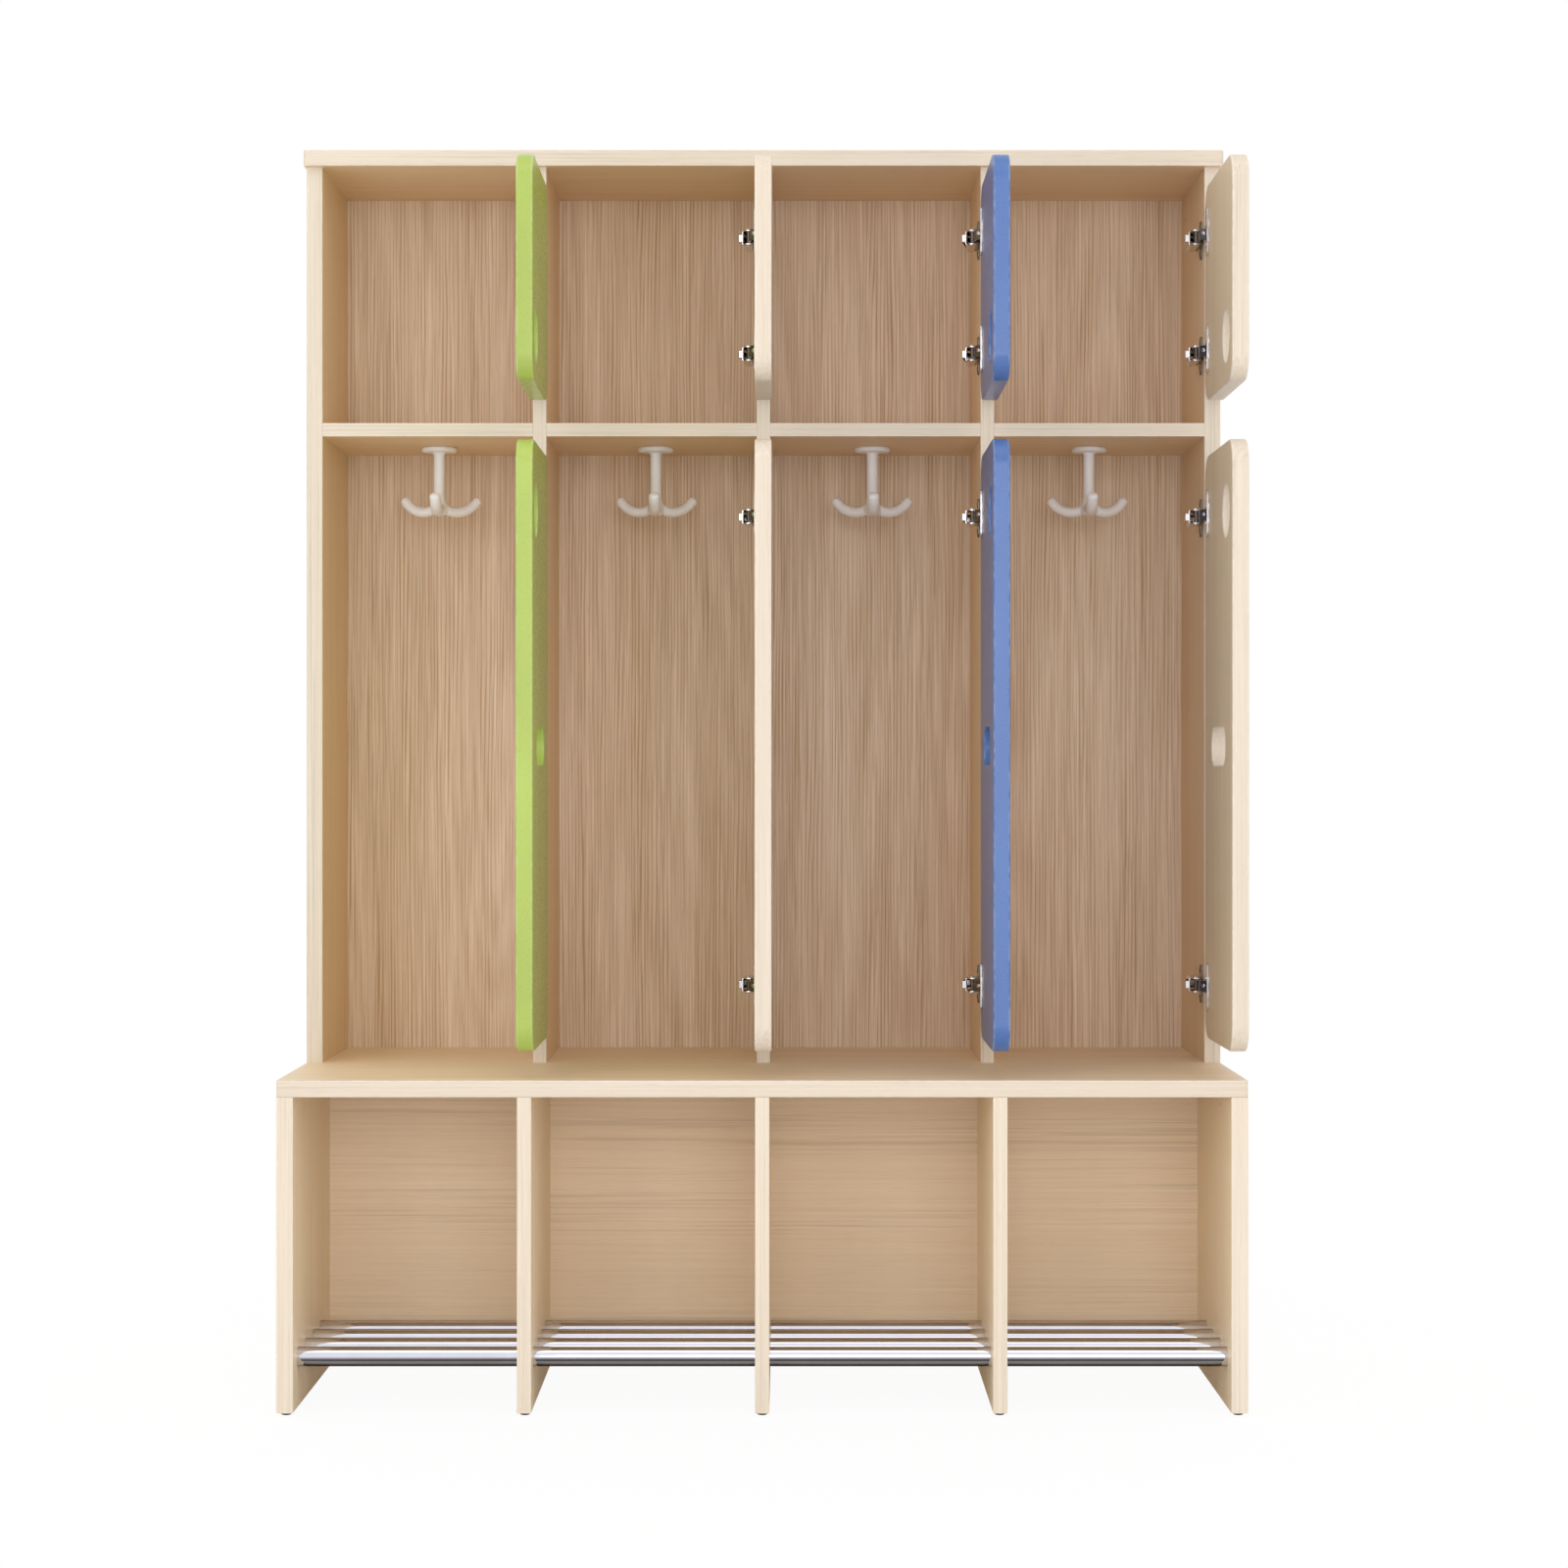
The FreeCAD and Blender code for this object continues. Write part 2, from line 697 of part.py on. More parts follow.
def hinges():
    """Arms and plates as one group each, and one pair of links for each door."""
    arm = hinge_arm()
    plate = mounting_plate()
    link = hinge_link()
    every_corner = []
    for place in range(PLACES):
        for which, pair in zip(("upper", "lower"), hinge_levels()):
            corners = [Vector(opening_right(place), carcass_front, level) for level in pair]
            group(f"{which}_links_{place + 1}", [link.translated(corner) for corner in corners])
            every_corner += corners
    group("hinge_arms", [arm.translated(corner) for corner in every_corner])
    group("hinge_plates", [plate.translated(corner) for corner in every_corner])


# Coat hooks.


def closed_skin(rings):
    """A solid whose skin runs flat from ring to ring and closes at both ends."""
    faces = [outline_face(rings[0]), outline_face(rings[-1])]
    for first, second in zip(rings, rings[1:]):
        for number in range(len(first)):
            following = (number + 1) % len(first)
            faces.append(outline_face([first[number], first[following], second[following], second[number]]))
    solid = Part.makeSolid(Part.makeShell(faces))
    if solid.Volume < 0:
        solid.reverse()
    return solid


def hook_arm():
    """One curved arm in the X-Z plane, from the stem's foot to a tapered tip."""
    low = -size.hook_drop
    root = Vector(0, 0, low + size.hook_root_rise)
    lowest = Vector(size.hook_low_reach, 0, low)
    tip = Vector(size.hook_tip_reach, 0, low + size.hook_tip_rise)
    path = Part.Arc(root, lowest, tip).toShape().discretize(HOOK_BENDS + 1)
    radii = [size.hook_arm_diameter / 2] * len(path) + [size.hook_tip_diameter / 2]
    path.append(path[-1] + (path[-1] - path[-2]).normalize() * size.hook_tip_length)
    rings = []
    for centre, along, radius in zip(path, mitres(path), radii):
        aside = Vector(-along.z, 0, along.x) * radius
        across = ALONG_Y * radius
        angles = [number * 2 * math.pi / HOOK_SIDES for number in range(HOOK_SIDES)]
        rings.append([centre + aside * math.cos(angle) + across * math.sin(angle) for angle in angles])
    return closed_skin(rings)


def coat_hook():
    """A flange, a stem that flares at its foot and three arms, cast in one piece."""
    stem_radius = size.hook_stem_diameter / 2
    flange_radius = size.hook_flange_diameter / 2
    profile = [
        (flange_radius, 0),
        (flange_radius, size.hook_flange_thickness),
        (stem_radius, size.hook_flange_thickness),
        (stem_radius, size.hook_drop - size.hook_flare_height),
        (size.hook_flare_diameter / 2, size.hook_drop),
    ]
    stem = closed_skin([
        ring(-UPWARDS * depth, UPWARDS, radius, STEM_SIDES) for radius, depth in profile
    ])
    arm = hook_arm()
    arms = [
        arm.rotated(Vector(), UPWARDS, FIRST_HOOK_ARM_ANGLE + number * FULL_TURN / HOOK_ARMS)
        for number in range(HOOK_ARMS)
    ]
    return stem.fuse(arms).removeSplitter()


def coat_hooks():
    """One hook under each hat shelf."""
    hook = coat_hook()
    for place in range(PLACES):
        middle = (opening_left(place) + opening_right(place)) / 2
        top = Vector(middle, carcass_front + size.hook_setback, shelf_bottom)
        group(f"coat_hook_{place + 1}", [hook], Placement(top, Rotation()))


def check_and_write():
    """Stop on any failed object, then write one file for each piece."""
    doc.recompute()
    for thing in doc.Objects:
        if "Invalid" in thing.State or "Error" in thing.State:
            raise RuntimeError(f"{thing.Label} is {thing.State}")
    for piece in pieces:
        if piece.Shape.isNull() or not piece.Shape.isValid() or not piece.Shape.Solids:
            raise RuntimeError(f"{piece.Label} has no valid solid")
    os.makedirs("parts", exist_ok=True)
    for piece in pieces:
        piece.Shape.exportStep(f"parts/{piece.Label}.step")


seat_board()
legs()
bench_backs()
shoe_tubes()
floor_glides()
uprights()
hat_shelves()
locker_back_panel()
top_panel()
doors()
hinges()
coat_hooks()
check_and_write()

pivot_sum = -size.door_step - size.door_front_gap
pivot_difference = size.door_side_gap - size.door_standoff
pivot_x = (pivot_sum - pivot_difference) / 2
pivot_y = carcass_front + (pivot_sum + pivot_difference) / 2
print("pieces", len(pieces))
for place in range(PLACES):
    print("door axis", place + 1, opening_right(place) + pivot_x, pivot_y)
    print("link axis", place + 1, opening_right(place) - size.pin_offset, carcass_front + size.pin_setback)
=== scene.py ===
"""Looks for the changing room bench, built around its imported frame. Lengths are in metres."""

import math

import bmesh
import bpy
from mathutils import Matrix, Vector


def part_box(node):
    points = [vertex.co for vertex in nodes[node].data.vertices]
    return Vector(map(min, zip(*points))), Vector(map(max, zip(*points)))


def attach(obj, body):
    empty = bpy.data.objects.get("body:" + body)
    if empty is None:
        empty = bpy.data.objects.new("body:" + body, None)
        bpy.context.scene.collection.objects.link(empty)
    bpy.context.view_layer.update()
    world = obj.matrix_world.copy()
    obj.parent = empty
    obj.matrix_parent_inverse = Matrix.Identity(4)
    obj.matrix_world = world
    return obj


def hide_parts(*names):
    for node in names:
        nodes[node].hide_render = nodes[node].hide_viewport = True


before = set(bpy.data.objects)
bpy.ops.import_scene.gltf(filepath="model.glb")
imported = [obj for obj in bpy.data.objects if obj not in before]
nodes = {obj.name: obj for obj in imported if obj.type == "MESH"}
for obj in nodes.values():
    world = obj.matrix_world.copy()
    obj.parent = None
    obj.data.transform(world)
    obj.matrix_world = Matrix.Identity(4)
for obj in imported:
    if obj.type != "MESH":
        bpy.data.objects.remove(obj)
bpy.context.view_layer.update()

MM = 0.001
PLACES = range(1, 5)
WHICH = ("upper", "lower")
SHARP = math.radians(25)
SAME_PLANE = math.radians(1)
X, Z = 0, 2
# Sockets of a Mix node that mixes colours.
MIX_SHARE, MIX_FIRST, MIX_SECOND, MIX_RESULT = 0, 6, 7, 2

# Places of the hinges, as the CAD model has them: the right side of each opening, the front of
# the cupboard, and the levels of each door's two hinges.
SIDE = [-274 * MM, -8 * MM, 258 * MM, 524 * MM]
FRONT = 6.5 * MM
LEVELS = {"upper": (1219 * MM, 1357 * MM), "lower": (468 * MM, 1025 * MM)}

# Colours, linear.
FACE_PALE, FACE_DARK = (0.88, 0.68, 0.45), (0.75, 0.52, 0.30)
# Painted light: the legs' face colours are a paler copy of the board face, standing in for more light on
# the legs' faces under the seat.
LEG_PAINTED_LIGHT_PALE, LEG_PAINTED_LIGHT_DARK = (0.97, 0.81, 0.58), (0.88, 0.69, 0.46)
BAND_PALE, BAND_DARK = (0.78, 0.69, 0.59), (0.63, 0.52, 0.39)
DOOR_PALE, DOOR_DARK = (0.80, 0.66, 0.455), (0.69, 0.54, 0.345)
# Painted light: the legs' edge band is a paler copy of the board's edge band, for the same light under the
# seat.
LEG_BAND_PAINTED_LIGHT_PALE, LEG_BAND_PAINTED_LIGHT_DARK = (0.84, 0.745, 0.63), (0.68, 0.565, 0.43)
# Painted light: the seat's top is a paler copy of the board face, for the light that falls on it.
SEAT_PAINTED_LIGHT_PALE, SEAT_PAINTED_LIGHT_DARK = (0.92, 0.74, 0.52), (0.78, 0.565, 0.35)
# Painted shade: the seat's underside is a darker copy of the board face, for the shade under it.
UNDER_PAINTED_SHADE_PALE, UNDER_PAINTED_SHADE_DARK = (0.70, 0.54, 0.37), (0.58, 0.43, 0.27)
BACK_PALE, BACK_DARK = (0.85, 0.685, 0.53), (0.50, 0.315, 0.16)
BENCH_PALE, BENCH_DARK = (0.98, 0.805, 0.61), (0.845, 0.645, 0.435)
GREEN, BLUE = (0.393, 0.505, 0.097), (0.076, 0.156, 0.40)


# Materials.


class Finish:
    """A material whose colour, roughness and bump come from nodes."""

    def __init__(self, name, **sockets):
        self.material = bpy.data.materials.new(name)
        self.material.use_nodes = True
        self.tree = self.material.node_tree
        self.shader = self.tree.nodes["Principled BSDF"]
        self.place = self.add("ShaderNodeTexCoord").outputs["Object"]
        for socket, value in sockets.items():
            self.shader.inputs[socket.replace("_", " ")].default_value = value

    def add(self, kind, **settings):
        node = self.tree.nodes.new(kind)
        for name, value in settings.items():
            setattr(node, name, value)
        return node

    def feed(self, value, socket):
        if isinstance(value, bpy.types.NodeSocket):
            self.tree.links.new(value, socket)
        else:
            socket.default_value = value

    def math(self, operation, *values):
        node = self.add("ShaderNodeMath", operation=operation)
        for value, socket in zip(values, node.inputs):
            self.feed(value, socket)
        return node.outputs[0]

    def stretched(self, scale):
        node = self.add("ShaderNodeMapping")
        self.feed(self.place, node.inputs["Vector"])
        node.inputs["Scale"].default_value = scale
        return node.outputs[0]

    def noise(self, scale, detail, roughness=0.5):
        node = self.add("ShaderNodeTexNoise")
        self.feed(self.stretched(scale), node.inputs["Vector"])
        node.inputs["Scale"].default_value = 1
        node.inputs["Detail"].default_value = detail
        node.inputs["Roughness"].default_value = roughness
        return node.outputs[0]

    def between(self, value, low, high, new_low=0.0, new_high=1.0):
        node = self.add("ShaderNodeMapRange")
        limits = {"From Min": low, "From Max": high, "To Min": new_low, "To Max": new_high}
        for name, limit in limits.items():
            node.inputs[name].default_value = limit
        self.feed(value, node.inputs["Value"])
        return node.outputs[0]

    def mix(self, share, first, second):
        node = self.add("ShaderNodeMix", data_type="RGBA")
        for value, socket in ((share, MIX_SHARE), (first, MIX_FIRST), (second, MIX_SECOND)):
            if isinstance(value, tuple):
                value = (*value, 1.0)
            self.feed(value, node.inputs[socket])
        return node.outputs[MIX_RESULT]

    def total(self, *weighted):
        """A half, plus how far each value is from a half, times its weight."""
        result = 0.5
        for value, weight in weighted:
            centred = self.math("SUBTRACT", value, 0.5)
            result = self.math("MULTIPLY_ADD", centred, weight, result)
        return result

    def worn(self, least, most):
        """How worn an arris is here: nothing away from the arrises, uneven along them."""
        node = self.add("ShaderNodeAttribute", attribute_type="GEOMETRY", attribute_name="arris")
        uneven = self.between(self.noise((90, 90, 90), 3), 0.4, 0.65, least, most)
        return self.math("MULTIPLY", node.outputs["Fac"], uneven)

    def bump(self, height, distance, strength):
        node = self.add("ShaderNodeBump")
        node.inputs["Strength"].default_value = strength
        node.inputs["Distance"].default_value = distance
        self.feed(height, node.inputs["Height"])
        self.feed(node.outputs["Normal"], self.shader.inputs["Normal"])

    def colour(self, value):
        self.feed(value, self.shader.inputs["Base Color"])

    def roughness(self, value):
        self.feed(value, self.shader.inputs["Roughness"])


def along(axis, across, length):
    """Noise scale for grain that runs along an axis."""
    scale = [across] * 3
    scale[axis] = length
    return tuple(scale)


def scaled(colour, factor, lift=0.0):
    """A colour times a factor, plus a lift, and no brighter than white."""
    return tuple(min(1, factor * part + lift) for part in colour)


BOARD_ROUGHNESS = 0.46
# How much paler than the board its pale streaks and worn arrises are, and how much darker its pores.
PALER, DARKER = 1.12, 0.72


def flames(finish, axis):
    """Wide curved figure: the contour lines of a broad noise."""
    contours = finish.noise(along(axis, 6.5, 0.75), 1.5, 0.4)
    waves = finish.math("SINE", finish.math("MULTIPLY", contours, 95))
    return finish.between(waves, -1, 1)


def ringed(finish, grain, axis, spacing, weight):
    """The grain with close dark growth rings across X, which drift sideways and fade in places."""
    across_grain = finish.add("ShaderNodeSeparateXYZ")
    finish.feed(finish.place, across_grain.inputs[0])
    count = finish.math("MULTIPLY", across_grain.outputs["X"], 2 * math.pi / spacing)
    drift = finish.math("MULTIPLY", finish.noise(along(axis, 30, 1.8), 3, 0.55), 26)
    ring = finish.math("SINE", finish.math("ADD", count, drift))
    shown = finish.between(finish.noise(along(axis, 60, 3), 2), 0.36, 0.62, 0.25, 1)
    late_wood = finish.math("MULTIPLY", finish.between(ring, -0.1, 0.9), shown)
    return finish.math("MULTIPLY_ADD", late_wood, -weight, finish.math("ADD", grain, 0.4 * weight))


def laminate(name, pale, dark, axis, fibre=0.5, streak=0.6, broad=0.5, figure=0.0, rings=None,
             fibre_scale=(1000, 13), stripe_scale=(170, 1.6), line_scale=(430, 3.2),
             gleam_scale=(190, 2.2), lines=0.35, gleam=0.2):
    """Satin wood-grain laminate. The scales are noise frequencies across the grain and along it.

    fibre, streak, broad and figure say how strongly the grain shows, from fine to wide, lines and
    gleam its dark lines and pale streaks. rings is the spacing of growth rings and their strength.
    """
    finish = Finish(name, IOR=1.45)
    fibres = finish.noise(along(axis, *fibre_scale), 3, 0.6)
    stripes = finish.noise(along(axis, *stripe_scale), 3, 0.6)
    tone = finish.noise(along(axis, 16, 0.9), 2)
    parts = [(fibres, fibre), (stripes, streak), (tone, broad)]
    if figure:
        parts.append((flames(finish, axis), figure))
    grain = finish.total(*parts)
    if rings:
        grain = ringed(finish, grain, axis, *rings)
    pores = finish.between(finish.noise(along(axis, 1900, 34), 1), 0.60, 0.72)
    close = finish.between(finish.noise(along(axis, *line_scale), 2, 0.6), 0.52, 0.62)
    gathered = finish.between(finish.noise(along(axis, 34, 1.4), 1), 0.42, 0.60, 0.2 * lines, lines)
    pale_streaks = finish.between(finish.noise(along(axis, *gleam_scale), 1), 0.54, 0.70, 0, gleam)
    wood = finish.mix(grain, dark, pale)
    wood = finish.mix(pale_streaks, wood, scaled(pale, PALER))
    wood = finish.mix(finish.math("MULTIPLY", close, gathered), wood, scaled(dark, DARKER))
    wood = finish.mix(finish.math("MULTIPLY", pores, 0.28), wood, scaled(dark, DARKER))
    worn = finish.worn(0.1, 0.5)
    finish.colour(finish.mix(worn, wood, scaled(pale, PALER)))
    satin = finish.between(grain, 0, 1, BOARD_ROUGHNESS + 0.07, BOARD_ROUGHNESS - 0.05)
    finish.roughness(finish.math("MULTIPLY_ADD", worn, 0.12, satin))
    finish.bump(finish.total((fibres, 0.7), (pores, -0.5)), 0.00005, 0.5)
    return finish.material


def lacquer(name, colour):
    """Smooth coloured lacquer on board: slight orange peel, faint change of tone, paler at worn arrises."""
    finish = Finish(name, IOR=1.46, Specular_IOR_Level=0.5)
    peel = finish.noise((420, 420, 420), 2)
    cloud = finish.noise((9, 9, 5), 3)
    base = finish.mix(finish.between(cloud, 0.3, 0.7), scaled(colour, 0.90), scaled(colour, 1.06))
    worn = finish.worn(0.02, 0.35)
    finish.colour(finish.mix(worn, base, scaled(colour, 0.65, 0.35)))
    gloss = finish.between(peel, 0.3, 0.7, 0.26, 0.33)
    finish.roughness(finish.math("MULTIPLY_ADD", worn, 0.15, gloss))
    finish.bump(peel, 0.00006, 0.35)
    return finish.material


def metal(name, colour, low, high, axis=None, grain=0.000001, smudged=0.14, edge=(1, 1, 1)):
    """Plated metal with faint smudges and drawing marks. edge tints it at a glancing angle."""
    finish = Finish(name, Metallic=1.0, Specular_Tint=(*edge, 1))
    smudge = finish.noise((38, 38, 38), 3, 0.6)
    marks = finish.noise(along(axis, 1500, 25) if axis is not None else (900, 900, 900), 3)
    worn = finish.worn(0.0, 0.6)
    tone = finish.mix(finish.between(smudge, 0.35, 0.65), scaled(colour, 1 - smudged), colour)
    finish.colour(finish.mix(worn, tone, scaled(colour, 1.12)))
    finish.roughness(finish.between(finish.total((smudge, 0.7), (marks, 0.5)), 0.2, 0.8, low, high))
    finish.bump(marks, grain, 0.4)
    return finish.material


def plastic(name, colour, rough, mottle):
    """Moulded plastic with a fine spark-eroded texture and slightly polished arrises."""
    finish = Finish(name, IOR=1.48)
    texture = finish.noise((1600, 1600, 1600), 2)
    cloud = finish.noise((24, 24, 24), 3)
    base = finish.mix(finish.between(cloud, 0.3, 0.7), scaled(colour, 1 - mottle), colour)
    worn = finish.worn(0.0, 0.5)
    finish.colour(finish.mix(worn, base, scaled(colour, 1.15, 0.01)))
    finish.roughness(finish.between(texture, 0.3, 0.7, rough - 0.05, rough + 0.06))
    finish.bump(texture, 0.00004, 0.4)
    return finish.material


face_upright = laminate("board_face_upright", FACE_PALE, FACE_DARK, Z, streak=0.45)
# The legs' face is painted light: a paler copy of the board face.
leg_painted_light_face = laminate("leg_painted_light_face", LEG_PAINTED_LIGHT_PALE, LEG_PAINTED_LIGHT_DARK, Z, streak=0.45)
face_level = laminate("board_face_level", FACE_PALE, FACE_DARK, X, streak=0.45)
# The seat's top is painted light and its underside painted shade: paler and darker copies of the board
# face.
seat_painted_light_face = laminate("seat_painted_light_face", SEAT_PAINTED_LIGHT_PALE, SEAT_PAINTED_LIGHT_DARK, X, streak=0.45)
seat_painted_shade_bottom = laminate("seat_painted_shade_underside", UNDER_PAINTED_SHADE_PALE, UNDER_PAINTED_SHADE_DARK, X, streak=0.45)
EDGE_STRIPES = {"fibre": 0.35, "streak": 1.0, "broad": 0.3, "stripe_scale": (560, 1.3)}
band_upright = laminate("edge_band_upright", BAND_PALE, BAND_DARK, Z, **EDGE_STRIPES)
# The legs' edge band is painted light: a paler copy of the board's edge band.
leg_painted_light_band = laminate("leg_painted_light_band", LEG_BAND_PAINTED_LIGHT_PALE, LEG_BAND_PAINTED_LIGHT_DARK, Z, **EDGE_STRIPES)
band_level = laminate("edge_band_level", BAND_PALE, BAND_DARK, X, **EDGE_STRIPES)
door_face = laminate("door_face", DOOR_PALE, DOOR_DARK, Z, fibre=0.4, streak=0.5, broad=0.4)
back_board = laminate("back_board", BACK_PALE, BACK_DARK, Z, fibre=0.95, streak=0.4, broad=0.75,
                      figure=0.14, rings=(4.4 * MM, 0.55), fibre_scale=(800, 9), stripe_scale=(210, 3),
                      line_scale=(430, 6), gleam_scale=(380, 5), gleam=0.5)
bench_board = laminate("bench_back_face", BENCH_PALE, BENCH_DARK, X, streak=0.7, broad=0.4,
                       stripe_scale=(240, 2), lines=0.45)
green_lacquer = lacquer("green_lacquer", GREEN)
blue_lacquer = lacquer("blue_lacquer", BLUE)
# Painted reflection: the chrome's lilac tone and its brown glancing tint stand in for the lilac light and
# the shaded wood that the tubes reflect.
chrome = metal("chrome", (0.74, 0.75, 0.83), 0.02, 0.05, axis=X, grain=0.0000003, smudged=0.05,
               edge=(0.22, 0.15, 0.10))
nickel = metal("nickel", (0.76, 0.745, 0.765), 0.10, 0.20)
# Painted shade: the hinge plates and links are a dark brown copy of the nickel, standing in for the shade
# deep inside the hinges.
nickel_painted_shade = metal("nickel_painted_shade", (0.21, 0.175, 0.145), 0.18, 0.30)
hook_white = plastic("hook_white", (0.93, 0.93, 0.945), 0.40, 0.05)
glide_black = plastic("glide_black", (0.018, 0.018, 0.018), 0.45, 0.2)
cap_tan = plastic("cap_tan", (0.70, 0.56, 0.42), 0.5, 0.06)


# Meshes.


def mark_sharp(mesh):
    """Smooth shading everywhere but across the sharp edges."""
    for edge in mesh.edges:
        edge.smooth = len(edge.link_faces) != 2 or edge.calc_face_angle() < SHARP
    for part in mesh.faces:
        part.smooth = True


def piece(name, mesh, finishes, body, slot, *replaced):
    """An object made of a bmesh, dressed, riding on its body and standing for CAD nodes."""
    mark_sharp(mesh)
    data = bpy.data.meshes.new(name)
    mesh.to_mesh(data)
    mesh.free()
    for finish in finishes:
        data.materials.append(finish)
    thing = bpy.data.objects.new(name, data)
    bpy.context.scene.collection.objects.link(thing)
    even = thing.modifiers.new("even_shading", "WEIGHTED_NORMAL")
    even.keep_sharp = True
    even.weight = 80
    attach(thing, body)
    if replaced:
        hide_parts(*replaced)


def whole(node):
    """A CAD node's mesh with its corners joined and its flat faces in one part."""
    mesh = bmesh.new()
    mesh.from_mesh(nodes[node].data)
    bmesh.ops.remove_doubles(mesh, verts=mesh.verts, dist=0.002 * MM)
    bmesh.ops.dissolve_limit(mesh, angle_limit=SAME_PLANE, verts=mesh.verts, edges=mesh.edges)
    return mesh


def round_edges(mesh, edges, width, steps):
    """Rounds the edges and marks the new faces as arrises, which wear first."""
    layer = mesh.faces.layers.float.get("arris") or mesh.faces.layers.float.new("arris")
    made = bmesh.ops.bevel(mesh, geom=edges, offset=width, offset_type="OFFSET", segments=steps,
                           profile=0.5, affect="EDGES", clamp_overlap=False, loop_slide=False)
    for part in made["faces"]:
        part[layer] = 1.0
        part.material_index = 1


def is_sharp(edge):
    return len(edge.link_faces) == 2 and edge.calc_face_angle() > SHARP


def middle(edge):
    return (edge.verts[0].co + edge.verts[1].co) / 2


def direction(edge):
    return (edge.verts[1].co - edge.verts[0].co).normalized()


ARRIS = 0.8 * MM
THICK_ARRIS = 1.2 * MM
DOOR_ARRIS = 2 * MM


def board(node, finishes, slot, body, chosen, banded, width=ARRIS, steps=2):
    """A CAD board with rounded arrises. chosen picks the edges, banded numbers each face's finish."""
    mesh = whole(node)
    for part in mesh.faces:
        part.material_index = int(banded(part.normal))
    round_edges(mesh, [edge for edge in mesh.edges if is_sharp(edge) and chosen(edge)], width, steps)
    piece(f"{node}_dressed", mesh, finishes, body, slot, node)


def upright_board(node, finishes=None):
    """A panel, divider or leg: its front and rear arrises and the foot are eased."""
    low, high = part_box(node)
    near = 0.5 * MM

    def chosen(edge):
        place = middle(edge)
        outer = min(place.y - low.y, high.y - place.y) < near
        foot = place.z - low.z < near and low.z < 0.1
        return (outer and abs(direction(edge).z) > 0.9) or (foot and abs(direction(edge).x) < 0.5)

    board(node, finishes or (face_upright, band_upright), "natural_board", "carcass",
          chosen, lambda normal: abs(normal.x) < 0.7)


def level_board(node, all_round, width, face=face_level, below=None):
    """A top, seat or shelf: grain from side to side, the edge band on the front or all round."""
    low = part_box(node)[0]

    def chosen(edge):
        at_front = middle(edge).y - low.y < 0.5 * MM and abs(direction(edge).x) > 0.9
        return abs(direction(edge).z) < 0.5 and (all_round or at_front)

    def banded(normal):
        return 1 if abs(normal.z) < 0.7 else 2 * (normal.z < 0)

    board(node, (face, band_level, below or face), "natural_board", "carcass", chosen, banded, width)


# Where the middles of the hinge cups are in Y, and how far from there their pockets reach.
CUP_Y = -25 * MM
POCKET_REACH = 18.5 * MM


def door(which, place, finishes, slot):
    """A door leaf with all its arrises rounded, its hole's and slot's too, but not the cup pockets'."""
    node = f"{which}_door_{place}"
    cups = [Vector((0, CUP_Y, level)) for level in LEVELS[which]]

    def chosen(edge):
        flat = middle(edge).copy()
        flat.x = 0
        return min((flat - cup).length for cup in cups) > POCKET_REACH

    board(node, finishes, slot, node, chosen, lambda normal: abs(normal.x) < 0.7, DOOR_ARRIS, 4)


for side in ("left", "right"):
    upright_board(f"side_panel_{side}")
    upright_board(f"end_leg_{side}", (leg_painted_light_face, leg_painted_light_band))
for number in PLACES[:3]:
    upright_board(f"divider_{number}")
    upright_board(f"middle_leg_{number}", (leg_painted_light_face, leg_painted_light_band))
for number in PLACES:
    level_board(f"hat_shelf_{number}", False, ARRIS)
level_board("seat_board", True, THICK_ARRIS, seat_painted_light_face, seat_painted_shade_bottom)
level_board("top_panel", True, THICK_ARRIS)

DOOR_FINISHES = {
    1: ((green_lacquer, green_lacquer), "green_board"),
    2: ((door_face, band_upright), "natural_board"),
    3: ((blue_lacquer, blue_lacquer), "blue_board"),
    4: ((door_face, band_upright), "natural_board"),
}
for number in PLACES:
    for which in WHICH:
        door(which, number, *DOOR_FINISHES[number])


def dress(node, finish):
    """A CAD node that stays as it is, in a better material."""
    for place in nodes[node].material_slots:
        place.link = "OBJECT"
        place.material = finish


dress("locker_back_panel", back_board)
for number in PLACES:
    dress(f"bench_back_{number}", bench_board)


# Small shapes. Their outlines are in millimetres, and a matrix puts them in place.

MILLIMETRES = Matrix.Scale(MM, 4)
# Turns an outline drawn in X and Y and raised along Z, so that it lies in Y and Z and rises along -X.
AGAINST_SIDE = Matrix(((0, 0, -1, 0), (1, 0, 0, 0), (0, 1, 0, 0), (0, 0, 0, 1)))
# Turns an outline drawn in X and Z, so that it runs along Y.
INTO_CUPBOARD = Matrix(((1, 0, 0, 0), (0, 0, 1, 0), (0, 1, 0, 0), (0, 0, 0, 1)))


def rounded(corners, radius, steps=5):
    """A closed outline with its corners rounded. radius is one number or one for each corner."""
    count = len(corners)
    radii = radius if isinstance(radius, (list, tuple)) else [radius] * count
    outline = []
    for number, (corner, own) in enumerate(zip(corners, radii)):
        here = Vector(corner)
        if not own:
            outline.append(here)
            continue
        before = (Vector(corners[number - 1]) - here).normalized()
        after = (Vector(corners[(number + 1) % count]) - here).normalized()
        half = before.angle(after) / 2
        centre = here + (before + after).normalized() * (own / math.sin(half))
        start = here + before * (own / math.tan(half)) - centre
        end = here + after * (own / math.tan(half)) - centre
        for step in range(steps + 1):
            share = step / steps
            spoke = start.lerp(end, share).normalized() * own
            outline.append(centre + spoke)
    return outline


def oblong(width, height, radius):
    """The outline of a rounded rectangle about the origin."""
    half, tall = width / 2, height / 2
    return rounded([(-half, -tall), (half, -tall), (half, tall), (-half, tall)], radius, 6)


def disc(radius, sides):
    """A round outline about the origin."""
    turns = [2 * math.pi * number / sides for number in range(sides)]
    return [Vector((radius * math.cos(turn), radius * math.sin(turn))) for turn in turns]


